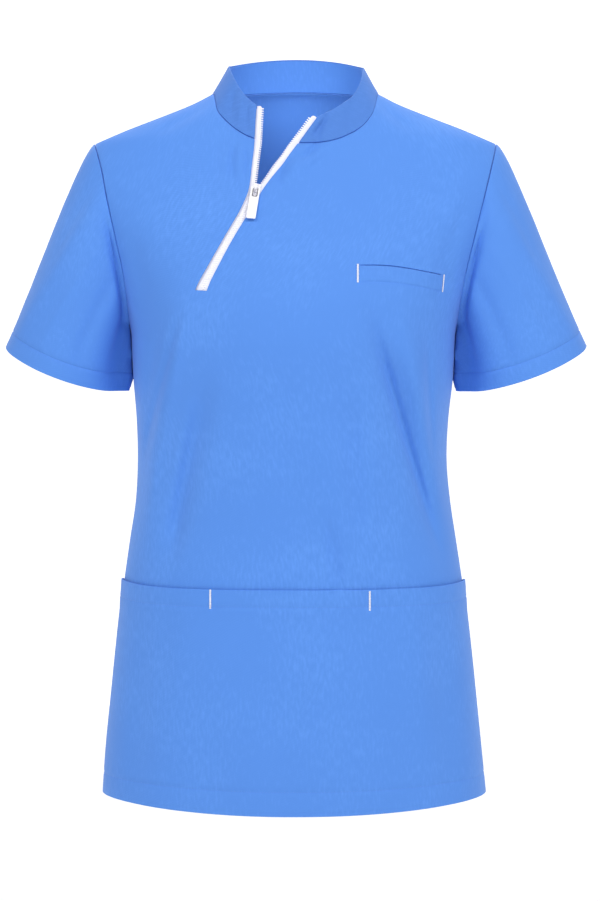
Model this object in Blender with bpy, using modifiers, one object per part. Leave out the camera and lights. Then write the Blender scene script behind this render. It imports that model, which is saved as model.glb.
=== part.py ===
"""Short-sleeved scrub top, hollow, held in the form that a figure gives it.

Metres, +Z up. The front faces -Y and +X is the wearer's left. The origin is the
middle of the neck, at the height where the shoulder seams meet the collar.

Each sewn piece is an open surface with a wall on it. The body is read from level
sections: a front curve and a back curve that meet at the side seams, at the
shoulder seams and at the armholes, so pieces that are sewn together share points.
"""
import math

import bpy
import bmesh
from mathutils import Matrix, Vector

for old in list(bpy.data.objects):
    bpy.data.objects.remove(old, do_unlink=True)

# ---------------------------------------------------------------- cloth sizes
CLOTH = 0.0012          # wall of a body panel or a sleeve
COLLAR_CLOTH = 0.0010   # wall of each of the collar's two layers
TAPE = 0.0010           # wall of a zip tape
SEAM = 0.0003           # taken off each piece at a seam
COLLAR_SEAM = 0.0009    # the collar stands up from its seam at an angle
LAID = 0.00035          # gap under a piece that lies on another
TAPE_DEPTH = CLOTH / 2 + 0.0008 + TAPE / 2    # from a panel's middle to a tape's

# ---------------------------------------------------------------- body sections
# From the hem to the shoulder tips. left and right are the half widths towards
# -X and +X, front and back the depths at the middle.
BODY_COLUMNS = ("level", "left", "right", "front", "back")
BODY = (
    (-0.704, 0.1912, 0.1890, 0.140, 0.129),
    (-0.646, 0.1872, 0.1832, 0.138, 0.127),
    (-0.606, 0.1832, 0.1792, 0.136, 0.1245),
    (-0.566, 0.1792, 0.1752, 0.135, 0.1215),
    (-0.526, 0.1750, 0.1708, 0.133, 0.117),
    (-0.486, 0.1705, 0.1660, 0.132, 0.111),
    (-0.446, 0.1650, 0.1600, 0.131, 0.103),
    (-0.406, 0.1590, 0.1540, 0.132, 0.095),
    (-0.366, 0.1570, 0.1505, 0.135, 0.091),
    (-0.326, 0.1580, 0.1520, 0.139, 0.093),
    (-0.285, 0.1612, 0.1565, 0.144, 0.097),
    (-0.250, 0.1630, 0.1585, 0.147, 0.102),
    (-0.215, 0.1652, 0.1615, 0.144, 0.107),
    (-0.179, 0.1693, 0.1675, 0.133, 0.1095),
    (-0.148, 0.1762, 0.1752, 0.118, 0.1075),
    (-0.110, 0.1850, 0.1850, 0.100, 0.1005),
    (-0.077, 0.1920, 0.1935, 0.084, 0.090),
    (-0.050, 0.2005, 0.2005, 0.070, 0.079),
)
# Above the shoulder tips: the half widths are where the shoulder seams run.
SHOULDER = (
    (-0.050, 0.2005, 0.2005, 0.070, 0.079),
    (-0.036, 0.1678, 0.1678, 0.063, 0.073),
    (-0.022, 0.1315, 0.1315, 0.055, 0.067),
    (-0.010, 0.1020, 0.1020, 0.047, 0.062),
    (0.000, 0.0825, 0.0825, 0.041, 0.057),
    (0.010, 0.0600, 0.0600, 0.034, 0.052),
)
ROUND = 2.25            # how square the sections are; 2 is an ellipse
TIP_LEVEL = -0.050      # top of the armhole
UNDERARM_LEVEL = -0.240
ARMHOLE_DEPTH = {"front": 0.060, "back": 0.066}
HEM_LEVEL = -0.704      # at the middle
HEM_RISE = 0.010        # from the middle to the side seams

# Levels of the rows between the hem and the underarm. The one at -0.4905 is the
# mouth of the lower pockets.
LOWER_ROWS = (HEM_LEVEL, -0.682, -0.652, -0.618, -0.584, -0.552, -0.521, -0.4905,
              -0.465, -0.440, -0.414, -0.388, -0.362, -0.336, -0.311, -0.287, -0.263,
              UNDERARM_LEVEL)
MOUTH_ROW = 7
CURVED_ROWS = 3         # rows that follow the hem's curve, less and less
# Rows around the armhole, as degrees from its lowest point. The third row meets
# the zip's lower end.
ARMHOLE_ROWS = (0, 15, 33, 53.1, 69, 84, 98, 111, 124, 137, 150, 165, 180)
ZIP_END_ROW = len(LOWER_ROWS) - 1 + 3
DRIFT = 3               # how late the columns move to their places on the top edge
SHOULDER_SPANS = 7
BACK_NECK_SPANS = 10

# ---------------------------------------------------------------- neck and collar
# Stations from the shoulder seam to the zip: where the collar's seam crosses the
# front (base_x, base_z) and where its top edge runs (top_x, top_y, top_z).
NECK_COLUMNS = ("base_x", "base_z", "top_x", "top_y", "top_z")
NECK_LEFT = (
    (-0.0825, 0.0000, -0.0665, 0.0000, 0.0280),
    (-0.0803, -0.0045, -0.0650, -0.0160, 0.0215),
    (-0.0767, -0.0208, -0.0605, -0.0340, 0.0105),
    (-0.0696, -0.0307, -0.0555, -0.0435, 0.0010),
    (-0.0596, -0.0402, -0.0500, -0.0515, -0.0070),
    (-0.0490, -0.0473, -0.0435, -0.0572, -0.0138),
    (-0.0399, -0.0513, -0.0380, -0.0605, -0.0180),
)
NECK_RIGHT = (
    (0.0825, 0.0000, 0.0680, 0.0000, 0.0265),
    (0.0812, -0.0060, 0.0668, -0.0200, 0.0160),
    (0.0760, -0.0240, 0.0625, -0.0370, 0.0025),
    (0.0648, -0.0386, 0.0560, -0.0480, -0.0080),
    (0.0500, -0.0478, 0.0480, -0.0560, -0.0148),
    (0.0349, -0.0532, 0.0390, -0.0610, -0.0208),
    (0.0185, -0.0555, 0.0300, -0.0640, -0.0258),
    (0.0032, -0.0558, 0.0212, -0.0660, -0.0300),
)
BACK_NECK_RISE = 0.008     # of the collar's seam, at the middle of the back
COLLAR_BACK_Y = 0.047      # top edge, middle of the back
COLLAR_BACK_Z = 0.040
COLLAR_ROWS = 3

# ---------------------------------------------------------------- zip
# The two cloth edges beside the zip. Below its end the same lines only guide
# the rows of the panel, down to the hem.
OPENING_COLUMNS = ("level", "left", "right")
OPENING = (
    (-0.704, -0.0550, -0.0350),
    (-0.450, -0.0640, -0.0500),
    (-0.300, -0.0850, -0.0730),
    (-0.240, -0.1010, -0.0895),
    (-0.203, -0.0962, -0.0846),
    (-0.176, -0.0823, -0.0722),
    (-0.149, -0.0674, -0.0580),
    (-0.121, -0.0520, -0.0414),
    (-0.103, -0.0451, -0.0312),
    (-0.0885, -0.0432, -0.0210),
    (-0.0757, -0.0420, -0.0112),
    (-0.0650, -0.0408, -0.0038),
    (-0.0540, -0.0400, 0.0045),
)
# Inner edges of the tapes, where the teeth run: closed up to the slider, then apart.
TEETH_LINE = (
    (-0.203, -0.0905, -0.0905),
    (-0.176, -0.0773, -0.0773),
    (-0.149, -0.0627, -0.0627),
    (-0.121, -0.0467, -0.0467),
    (-0.106, -0.0398, -0.0398),
    (-0.0965, -0.0381, -0.0335),
    (-0.0900, -0.0367, -0.0292),
    (-0.0717, -0.0346, -0.0169),
    (-0.0589, -0.0335, -0.0080),
    (-0.0480, -0.0327, 0.0005),
)
TAPE_HIDDEN = 0.006        # tape behind the cloth
TAPE_SHOWN = 0.0063        # tape beside the open collar
TEETH_GAP = 0.00025        # from each tape to the closed teeth line
SLIDER_LEVELS = (-0.106, -0.0965)
SLIDER_LEAN = math.radians(17)     # its axis, from the vertical towards +X
PULL_LEAN = math.radians(6)
PULL_REST = math.radians(4.5)        # the pull's lower end stands off the cloth

# ---------------------------------------------------------------- pockets
# Mouth of the chest pocket: x and the level of its upper edge.
WELT_COLUMNS = ("x", "top")
WELT = ((0.0600, -0.1790), (0.0700, -0.1786), (0.0800, -0.1785), (0.0905, -0.1789), (0.1010, -0.1799),
        (0.1115, -0.1812), (0.1220, -0.1827), (0.1325, -0.1842), (0.1425, -0.1856))
WELT_HEIGHT = 0.0168
WELT_GAP = 0.0006
MOUTH_LIFT = 0.0008        # the lower pockets' mouth stands off the front

# ---------------------------------------------------------------- folds
# Soft folds: a line from one point to another, the half width of the fold and
# how far it stands out of the panel (a minus sign is a trough).
FOLD_COLUMNS = ("x0", "z0", "x1", "z1", "half", "out")
FRONT_FOLDS = (
    (-0.1129, -0.2300, -0.1500, -0.4300, 0.016, 0.0060),
    (-0.1330, -0.2550, -0.1500, -0.3500, 0.012, -0.0045),
    (-0.0860, -0.3000, -0.1250, -0.4560, 0.018, -0.0050),
    (0.0786, -0.2400, 0.1480, -0.4600, 0.017, -0.0065),
    (0.1078, -0.2350, 0.1530, -0.4300, 0.015, 0.0055),
    (0.0300, -0.3400, 0.0620, -0.4800, 0.024, 0.0030),
    (0.0330, -0.4300, 0.0420, -0.4880, 0.012, -0.0020),
    (0.0170, -0.0620, -0.0060, -0.0820, 0.012, 0.0035),
    (-0.0520, -0.0560, -0.0540, -0.0800, 0.010, 0.0025),
    (-0.1450, -0.5300, -0.1560, -0.6900, 0.014, -0.0030),
    (0.1400, -0.5400, 0.1500, -0.6900, 0.015, -0.0030),
)
BACK_FOLDS = (
    (-0.0950, -0.2300, -0.1180, -0.4500, 0.018, -0.0060),
    (0.0880, -0.2400, 0.1150, -0.4700, 0.018, -0.0060),
    (-0.0600, -0.3000, -0.0800, -0.5200, 0.020, 0.0045),
    (0.0560, -0.2900, 0.0720, -0.5100, 0.021, 0.0045),
    (-0.0150, -0.3400, 0.0080, -0.5600, 0.018, -0.0035),
    (0.1000, -0.5600, 0.1120, -0.6950, 0.018, 0.0040),
    (-0.1080, -0.5500, -0.1150, -0.6950, 0.018, 0.0040),
    (-0.1150, -0.0900, -0.1350, -0.2100, 0.018, 0.0035),
    (0.1120, -0.0880, 0.1330, -0.2050, 0.018, 0.0035),
)

# ---------------------------------------------------------------- sleeves
# side: -1 is the sleeve towards -X. outer and inner are the ends of its hem as
# seen from the front.
SLEEVE_COLUMNS = ("side", "outer_x", "outer_z", "inner_x", "inner_z")
SLEEVES = {
    "sleeve_right": (-1, -0.2897, -0.2525, -0.1690, -0.2945),
    "sleeve_left": (1, 0.2907, -0.2515, 0.1632, -0.2950),
}
SLEEVE_ROWS = (0.0, 0.05, 0.13, 0.24, 0.37, 0.51, 0.65, 0.79, 0.90, 1.0)
SLEEVE_HALF = {"front": 0.058, "back": 0.060}
SLEEVE_DROP = {"front": -0.013, "back": 0.010}    # tilt of the hem, front to back
HEM_FLATNESS = 1.3     # above 1, the sleeve's hem is flattened towards its two ends
SLEEVE_GAP = 0.0004            # from the body's armhole edge, all round
UNDERARM_GAP = 0.0017          # added to it at the underarm
SLEEVE_HEAD = (0.18, -0.145)   # x and level of the sleeve's middle line at the armhole
# How each part of the sleeve leaves the armhole: towards the side, forward and down.
CAP_PULL = (0.055, 0, -0.050)
UNDERARM_PULL = (0.006, 0, -0.045)
SIDE_PULL = (0.336, 0.128, -0.720)     # times the sleeve's length there
HEM_SPREAD = (0.02, 0.42, -0.93)       # at the hem: outward below, more above, and down
# Soft folds on a sleeve: degrees round from the underarm (front is 0 to 180),
# share of the length at both ends, half width in degrees, height.
SLEEVE_FOLD_COLUMNS = ("turn0", "run0", "turn1", "run1", "half", "out")
SLEEVE_FOLDS = (
    (112, 0.10, 150, 0.95, 13, 0.0030),
    (52, 0.00, 62, 0.90, 15, -0.0040),
    (228, 0.15, 208, 0.95, 15, 0.0030),
    (300, 0.05, 292, 0.90, 15, -0.0040),
)

# ---------------------------------------------------------------- colours
COLOURS = {
    "cloth_blue": ("#6599ED", 0.78, 0.0),
    "cloth_blue_inner": ("#5C8FE6", 0.80, 0.0),
    "tape_white": ("#F1EFF6", 0.70, 0.0),
    "slider_white": ("#EDECEF", 0.40, 0.0),
    "pull_white": ("#F4F3F7", 0.45, 0.0),
}


def linear(code):
    """A colour written as #RRGGBB, as the linear values that a material takes."""
    parts = [int(code[i:i + 2], 16) / 255 for i in (1, 3, 5)]
    return [p / 12.92 if p <= 0.04045 else ((p + 0.055) / 1.055) ** 2.4 for p in parts] + [1.0]


def make_material(name):
    code, roughness, metallic = COLOURS[name]
    material = bpy.data.materials.new(name)
    material.use_nodes = True
    shader = material.node_tree.nodes["Principled BSDF"]
    shader.inputs["Base Color"].default_value = linear(code)
    shader.inputs["Roughness"].default_value = roughness
    shader.inputs["Metallic"].default_value = metallic
    return material


def smooth(t):
    t = min(1.0, max(0.0, t))
    return t * t * (3 - 2 * t)


def read(table, at, value):
    """A column of a table at the given value of its first column, on a smooth curve."""
    rows = table
    value = min(rows[-1][0], max(rows[0][0], value))
    k = 0
    while k < len(rows) - 2 and value > rows[k + 1][0]:
        k += 1
    x0, x1 = rows[k][0], rows[k + 1][0]
    y0, y1 = rows[k][at], rows[k + 1][at]
    step = x1 - x0
    slope = (y1 - y0) / step
    before = slope if k == 0 else (y0 - rows[k - 1][at]) / (x0 - rows[k - 1][0])
    after = slope if k == len(rows) - 2 else (rows[k + 2][at] - y1) / (rows[k + 2][0] - x1)
    m0, m1 = (before + slope) / 2, (slope + after) / 2
    t = (value - x0) / step
    return ((2 * t ** 3 - 3 * t ** 2 + 1) * y0 + (t ** 3 - 2 * t ** 2 + t) * step * m0
            + (3 * t ** 2 - 2 * t ** 3) * y1 + (t ** 3 - t ** 2) * step * m1)


def section(name, level):
    at = BODY_COLUMNS.index(name)
    return read(BODY if level < TIP_LEVEL else SHOULDER, at, level)


def armhole_half(part, level):
    """Half depth of the armhole at a level: 0 at the shoulder tip and the underarm."""
    q = (TIP_LEVEL - level) / (TIP_LEVEL - UNDERARM_LEVEL)
    return ARMHOLE_DEPTH[part] * math.sqrt(max(0.0, 1 - (2 * q - 1) ** 2)) if 0 < q < 1 else 0.0


def side_x(side, level):
    return side * section("left" if side < 0 else "right", level)


def shoulder_level(x):
    """Level of the shoulder seam at a distance from the middle."""
    low, high = TIP_LEVEL, SHOULDER[-2][0]
    for _ in range(40):
        mid = (low + high) / 2
        if section("right", mid) > abs(x):
            low = mid
        else:
            high = mid
    return (low + high) / 2


def body_depth(part, x, level):
    full = section(part, level)
    half = abs(side_x(-1 if x < 0 else 1, level))
    edge = armhole_half(part, level)
    reach = half / (1 - (edge / full) ** ROUND) ** (1 / ROUND)
    return full * max(0.0, 1 - (abs(x) / reach) ** ROUND) ** (1 / ROUND)


def fold_height(folds, x, z):
    total = 0.0
    for x0, z0, x1, z1, half, out in folds:
        run = Vector((x1 - x0, z1 - z0))
        spot = Vector((x - x0, z - z0))
        along = spot.dot(run) / run.length_squared
        aside = abs(spot.x * run.y - spot.y * run.x) / run.length
        ends = smooth((along + 0.25) / 0.5) * smooth((1.25 - along) / 0.5)
        total += out * ends * math.exp(-(aside / half) ** 2)
    return total


def body_point(part, x, z, folds):
    """A point of the front or the back, moved straight out or in by its folds."""
    sign = -1 if part == "front" else 1
    depth = body_depth(part, x, z)
    half = abs(side_x(-1 if x < 0 else 1, z))
    fade = smooth((half - abs(x)) / 0.022) * smooth(depth / 0.03)
    return Vector((x, sign * (depth + fade * fold_height(folds, x, z)), z))


# ---------------------------------------------------------------- rows and columns
def armhole_level(degrees):
    middle = (TIP_LEVEL + UNDERARM_LEVEL) / 2
    return middle - (TIP_LEVEL - UNDERARM_LEVEL) / 2 * math.cos(math.radians(degrees))


def climb(degrees):
    """Share of the way from the underarm row to the top edge."""
    return (1 - math.cos(math.radians(degrees))) / 2


def panel_rows(columns, part, folds):
    """Rows of points from the hem to the top edge. Each column is a pair: where it
    ends at the top (x, z) and how it is placed in a row (a function of the row)."""
    rows = []
    lower = len(LOWER_ROWS) - 1
    for i in range(lower + len(ARMHOLE_ROWS)):
        row = []
        if i <= lower:
            level, rise = LOWER_ROWS[i], 0.0
        else:
            rise = climb(ARMHOLE_ROWS[i - lower])
        for (top_x, top_z), place in columns:
            z = level if i <= lower else UNDERARM_LEVEL + (top_z - UNDERARM_LEVEL) * rise
            x = place(z, rise)
            if i < CURVED_ROWS:
                half = abs(side_x(1, z))
                z += HEM_RISE * min(1.0, abs(x) / half) ** 2 * (1 - i / CURVED_ROWS)
            if i == lower + len(ARMHOLE_ROWS) - 1:
                x, z = top_x, top_z
            row.append(body_point(part, x, z, folds))
        rows.append(row)
    return rows


def shoulder_tops(side):
    tip, neck = SHOULDER[0][1], SHOULDER[-2][1]
    spots = []
    for k in range(SHOULDER_SPANS):
        x = tip + (neck - tip) * k / SHOULDER_SPANS
        spots.append((side * x, shoulder_level(x)))
    return spots


def placer(side, share_low, share_top, inner, inner_top):
    """Places a column between the side edge and an inner line (a function of its
    level). Above the underarm both are taken where the same row meets them."""
    def place(z, rise):
        share = share_low + (share_top - share_low) * rise ** DRIFT
        edge_z = z if rise == 0 else UNDERARM_LEVEL + (TIP_LEVEL - UNDERARM_LEVEL) * rise
        inner_z = z if rise == 0 else UNDERARM_LEVEL + (inner_top - UNDERARM_LEVEL) * rise
        return side_x(side, edge_z) * (1 - share) + inner(inner_z) * share
    return place


def half_columns(side, tops, inner):
    """Columns from the side edge to the inner line, closer together at the side."""
    count = len(tops) - 1
    tip, end = tops[0][0], tops[-1][0]
    columns = []
    for k, top in enumerate(tops):
        share_low = 1 - math.cos(math.pi / 2 * k / count)
        share_top = (tip - top[0]) / (tip - end)
        columns.append((top, placer(side, share_low, share_top, inner, tops[-1][1])))
    return columns


def front_grid():
    left_line = lambda z: read(OPENING, 1, z)
    right_line = lambda z: read(OPENING, 2, z)
    left = half_columns(-1, shoulder_tops(-1) + [r[:2] for r in NECK_LEFT], left_line)
    right = half_columns(1, shoulder_tops(1) + [r[:2] for r in NECK_RIGHT], right_line)
    return panel_rows(left + right[::-1], "front", FRONT_FOLDS), len(left) - 1


def back_neck_tops(side):
    """Stations of the back neck seam, from the shoulder seam to the middle."""
    neck = SHOULDER[-2][1]
    spots = []
    for k in range(BACK_NECK_SPANS // 2 + 1):
        x = neck * math.cos(math.pi * k / BACK_NECK_SPANS)
        x = 0.0 if abs(x) < 1e-9 else x
        spots.append((side * x, BACK_NECK_RISE * (1 - (x / neck) ** 2)))
    return spots


def back_grid():
    middle = lambda z: -0.002
    left = half_columns(-1, shoulder_tops(-1) + back_neck_tops(-1), middle)
    right = half_columns(1, shoulder_tops(1) + back_neck_tops(1), middle)
    return panel_rows(left + right[::-1][1:], "back", BACK_FOLDS)


# ---------------------------------------------------------------- grids to cloth
def grid_normal(grid, i, j, outward):
    """Normal of a grid at a point, on the side of the given direction."""
    along = grid[min(i + 1, len(grid) - 1)][j] - grid[max(i - 1, 0)][j]
    across = grid[i][min(j + 1, len(grid[0]) - 1)] - grid[i][max(j - 1, 0)]
    normal = across.cross(along).normalized()
    return normal if normal.dot(outward) > 0 else -normal


def moved(grid, distance, outward):
    """The grid moved along its normals; both arguments may depend on the point."""
    return [[p + grid_normal(grid, i, j, outward(p)) * distance(i, j) for j, p in enumerate(row)]
            for i, row in enumerate(grid)]


def trimmed(grid, first=0.0, last=0.0, start=0.0, end=0.0):
    """The grid cut back at its first and last rows and at the rows' starts and ends."""
    def toward(p, q, distance):
        return p + (q - p).normalized() * distance if distance else p
    rows = [list(row) for row in grid]
    rows[0] = [toward(p, q, first) for p, q in zip(grid[0], grid[1])]
    rows[-1] = [toward(p, q, last) for p, q in zip(grid[-1], grid[-2])]
    for row in rows:
        row[0], row[-1] = toward(row[0], row[1], start), toward(row[-1], row[-2], end)
    return rows


def surface_mesh(name, grid, closed=False, left_out=()):
    """A mesh from rows of points. closed joins each row's end to its start, and
    left_out lists faces to leave away, as (row, column)."""
    rows, columns = len(grid) - 1, len(grid[0]) - 1
    bm = bmesh.new()
    bmesh.ops.create_grid(bm, x_segments=columns, y_segments=rows, size=1)
    spots = {}
    for vertex in bm.verts:
        j = round((vertex.co.x + 1) / 2 * columns)
        i = round((vertex.co.y + 1) / 2 * rows)
        spots[vertex] = (i, j)
    gone = [face for face in bm.faces
            if (min(spots[v][0] for v in face.verts), min(spots[v][1] for v in face.verts)) in left_out]
    for vertex, (i, j) in spots.items():
        vertex.co = grid[i][j]
    if gone:
        bmesh.ops.delete(bm, geom=gone, context="FACES")
    if closed:
        bmesh.ops.remove_doubles(bm, verts=bm.verts, dist=1e-6)
    mesh = bpy.data.meshes.new(name)
    bm.to_mesh(mesh)
    bm.free()
    return mesh


def add_object(name, mesh, material, collection):
    thing = bpy.data.objects.new(name, mesh)
    collection.objects.link(thing)
    mesh.materials.append(material)
    return thing


def sew(name, grid, wall, material, collection, **options):
    mesh = surface_mesh(name, grid, **options)
    mesh.shade_smooth()
    thing = add_object(name, mesh, material, collection)
    solid = thing.modifiers.new("wall", "SOLIDIFY")
    solid.thickness = wall
    solid.offset = 0.0
    solid.use_even_offset = True
    solid.use_rim = True
    return thing


def forward(p):
    return Vector((p.x * 0.4, -1, 0.1))


def from_axis(p):
    return Vector((p.x, p.y + 0.008, 0.02))


# ---------------------------------------------------------------- sleeves
def sleeve_grid(side, outer_x, outer_z, inner_x, inner_z):
    turns = list(ARMHOLE_ROWS) + [360 - t for t in ARMHOLE_ROWS[-2::-1]]
    outer, inner = Vector((outer_x, 0, outer_z)), Vector((inner_x, 0, inner_z))
    middle, reach = (outer + inner) / 2, (outer - inner) / 2
    grid = [[] for _ in SLEEVE_ROWS]
    for turn in turns:
        part = "front" if turn <= 180 else "back"
        facing = -1 if turn <= 180 else 1
        angle = math.radians(turn)
        round_share = abs(math.sin(angle))
        up = (1 - math.cos(angle)) / 2
        level = armhole_level(turn)
        start = Vector((side_x(side, level), facing * armhole_half(part, level), level))
        lift = smooth((0.97 - up) / 0.45)
        start += Vector((side * (SLEEVE_GAP + UNDERARM_GAP * lift), facing * SLEEVE_GAP * round_share, 0))
        end = (middle - reach * math.cos(angle)
               + Vector((0, facing * SLEEVE_HALF[part], SLEEVE_DROP[part])) * round_share ** HEM_FLATNESS)
        chord = (end - start).length
        across = Vector((side, facing, 1))
        edge_pull = Vector(UNDERARM_PULL).lerp(Vector(CAP_PULL), up) * across
        pull0 = edge_pull * (1 - round_share) + Vector(SIDE_PULL) * across * chord * round_share
        spread, more, down = HEM_SPREAD
        pull1 = Vector((side * (spread + more * up ** 1.2), 0, down)).normalized() * chord
        for k, t in enumerate(SLEEVE_ROWS):
            point = ((2 * t ** 3 - 3 * t ** 2 + 1) * start + (t ** 3 - 2 * t ** 2 + t) * pull0
                     + (3 * t ** 2 - 2 * t ** 3) * end + (t ** 3 - t ** 2) * pull1)
            grid[k].append(point)
    head = Vector((side * SLEEVE_HEAD[0], 0, SLEEVE_HEAD[1]))
    axis = middle - head
    folded = []
    for k, row in enumerate(grid):
        t = SLEEVE_ROWS[k]
        new_row = []
        for turn, point in zip(turns, row):
            height = 0.0
            for turn0, run0, turn1, run1, half, out in SLEEVE_FOLDS:
                along = (t - run0) / (run1 - run0)
                aside = turn - (turn0 + (turn1 - turn0) * along)
                ends = smooth((along + 0.25) / 0.5) * smooth((1.25 - along) / 0.5)
                height += out * ends * math.exp(-(aside / half) ** 2)
            outward = point - head - axis * t
            outward -= outward.project(axis)
            fade = smooth(t / 0.12)
            new_row.append(point + outward.normalized() * height * fade)
        folded.append(new_row)
    return folded


# ---------------------------------------------------------------- collar
def collar_grid(front, opening_column, back):
    """Rows from the neck seam to the top edge, from the zip round to the zip."""
    top_front, top_back = front[-1], back[-1]
    first, last = SHOULDER_SPANS, len(top_front) - 1 - SHOULDER_SPANS
    base = top_front[opening_column:first:-1]
    base += top_back[SHOULDER_SPANS:len(top_back) - SHOULDER_SPANS]
    base += top_front[last - 1:opening_column:-1]
    top = [Vector(r[2:]) for r in NECK_LEFT[:0:-1]]
    left, right = Vector(NECK_LEFT[0][2:]), Vector(NECK_RIGHT[0][2:])
    for k in range(BACK_NECK_SPANS + 1):
        angle = math.pi * k / BACK_NECK_SPANS
        bulge = math.sin(angle)
        side = left.lerp(right, (1 - math.cos(angle)) / 2)
        top.append(Vector((side.x, COLLAR_BACK_Y * bulge, side.z + (COLLAR_BACK_Z - side.z) * bulge ** 1.5)))
    top += [Vector(r[2:]) for r in NECK_RIGHT[1:]]
    rows = []
    for k in range(COLLAR_ROWS + 1):
        t = k / COLLAR_ROWS
        rows.append([a.lerp(b, t) for a, b in zip(base, top)])
    return rows


# ---------------------------------------------------------------- zip tapes
def tape_grid(front, collar, column, step, teeth, collar_end):
    """One tape: hidden edge, cloth edge and teeth edge at each station. step is
    the way from the opening into the cloth, teeth the column of TEETH_LINE."""
    rows = []

    def station(edge, beside, tip):
        hidden = edge + (beside - edge).normalized() * TAPE_HIDDEN
        rows.append([hidden, edge, tip])

    def tip_at(edge_point):
        z = edge_point.z
        x = read_straight(TEETH_LINE, teeth, z) + (TEETH_GAP if teeth == 2 else -TEETH_GAP)
        fold = edge_point.y + body_depth("front", edge_point.x, z)
        return Vector((x, fold - body_depth("front", x, z), z))

    for i in range(ZIP_END_ROW, len(front)):
        edge, beside = front[i][column], front[i][column + step]
        if i > ZIP_END_ROW:
            before, beside_before = front[i - 1][column], front[i - 1][column + step]
            for level in SLIDER_LEVELS:
                if before.z < level < edge.z:
                    t = (level - before.z) / (edge.z - before.z)
                    spot = before.lerp(edge, t)
                    station(spot, beside_before.lerp(beside, t), tip_at(spot))
        station(edge, beside, tip_at(edge))
    for k in range(1, len(collar)):
        edge = collar[k][collar_end]
        beside = collar[k][1 if collar_end == 0 else -2]
        station(edge, beside, edge + (edge - beside).normalized() * TAPE_SHOWN)
    low = rows[0]
    rows[0] = [p + (q - p).normalized() * 0.0004 for p, q in zip(low, rows[1])]
    return moved(rows, lambda i, j: -TAPE_DEPTH, forward)


def read_straight(table, at, value):
    value = min(table[-1][0], max(table[0][0], value))
    for low, high in zip(table, table[1:]):
        if value <= high[0]:
            return low[at] + (high[at] - low[at]) * (value - low[0]) / (high[0] - low[0])
    return table[-1][at]


# ---------------------------------------------------------------- slider and pull
PLATE = (0.0078, 0.0090, 0.0012)      # across, along, thick
SLOT = TAPE / 2 + 0.00035             # from the tape's middle to a plate
POST = (0.0014, 0.0031, 0.0030)
BAIL_WIDTH = 0.0030
BAIL_WALL = 0.0009
BAIL_REACH = 0.0032                   # half its length
BAIL_TOP = 0.0034                     # above the plate, to the middle of its wall
BAR_RADIUS = 0.00075
BAR_OUT = SLOT + PLATE[2] + 0.0004 + BAR_RADIUS
BAR_ALONG = -0.0012
TAB_WIDTH = 0.0090
TAB_WALL = 0.0018
TAB_LENGTH = 0.0365
WINDOW = (0.0056, 0.0100)             # opening in the tab, across and along


def edge_at(front, column, level):
    """The point of a cloth edge beside the zip at a level."""
    for low, high in zip(front[ZIP_END_ROW:], front[ZIP_END_ROW + 1:]):
        a, b = low[column], high[column]
        if a.z <= level <= b.z:
            return a.lerp(b, (level - a.z) / (b.z - a.z))
    raise ValueError("the level is outside the opening")


def slider_frame(front, column):
    """Where the slider sits: the middle of its tapes, its way up and its way out."""
    low, high = SLIDER_LEVELS
    middle = (low + high) / 2
    left, right = edge_at(front, column, middle), edge_at(front, column + 1, middle)
    up = (edge_at(front, column, high) - edge_at(front, column, low)
          + edge_at(front, column + 1, high) - edge_at(front, column + 1, low))
    out = (right - left).cross(up).normalized()
    out = out if out.y < 0 else -out
    x = (read_straight(TEETH_LINE, 1, middle) + read_straight(TEETH_LINE, 2, middle)) / 2
    return left.lerp(right, (x - left.x) / (right.x - left.x)) - out * TAPE_DEPTH, out


def leaning(out, lean):
    """Axes on the cloth: across, along (leaning from the vertical) and out."""
    along = Vector((math.sin(lean), 0, math.cos(lean)))
    along = (along - out * along.dot(out)).normalized()
    return along.cross(out).normalized(), along, out


def placed(origin, across, along, out):
    turn = Matrix((across, along, out)).transposed().to_4x4()
    return Matrix.Translation(origin) @ turn


def box(name, size, centre, bevel, material, collection):
    bm = bmesh.new()
    bmesh.ops.create_cube(bm, size=1)
    bmesh.ops.scale(bm, vec=size, verts=bm.verts)
    bmesh.ops.translate(bm, vec=centre, verts=bm.verts)
    mesh = bpy.data.meshes.new(name)
    bm.to_mesh(mesh)
    bm.free()
    thing = add_object(name, mesh, material, collection)
    if bevel:
        edge = thing.modifiers.new("edge", "BEVEL")
        edge.width = bevel
        edge.segments = 2
        edge.limit_method = "ANGLE"
    return thing


def join_with(thing, others, operation, cutters):
    for other in others:
        step = thing.modifiers.new(other.name, "BOOLEAN")
        step.operation = operation
        step.object = other
        other.hide_render = True
        other.display_type = "WIRE"
        for home in list(other.users_collection):
            home.objects.unlink(other)
        cutters.objects.link(other)
    return thing


def build_slider(frame, material, collection, cutters):
    top = box("zip_slider", PLATE, (0, 0, SLOT + PLATE[2] / 2), 0.0004, material, collection)
    under = box("slider_under", PLATE, (0, 0, -SLOT - PLATE[2] / 2), 0.0004, material, collection)
    post = box("slider_post", POST, (0, 0.0026, 0), 0.0, material, collection)
    arch = []
    base = SLOT + PLATE[2] - 0.0006
    for y, z in ((-1.0, 0.0), (-1.0, 0.55), (-0.90, 0.82), (-0.60, 0.98), (-0.2, 1.0),
                 (0.2, 1.0), (0.60, 0.98), (0.90, 0.82), (1.0, 0.55), (1.0, 0.0)):
        height = base + (BAIL_TOP + 0.0006) * z
        arch.append([Vector((x * BAIL_WIDTH / 2, y * BAIL_REACH, height)) for x in (-1, 1)])
    bail = sew("slider_bail", arch, BAIL_WALL, material, collection)
    for thing in (top, under, post, bail):
        thing.matrix_world = frame
    return join_with(top, (under, post, bail), "UNION", cutters)


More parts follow.
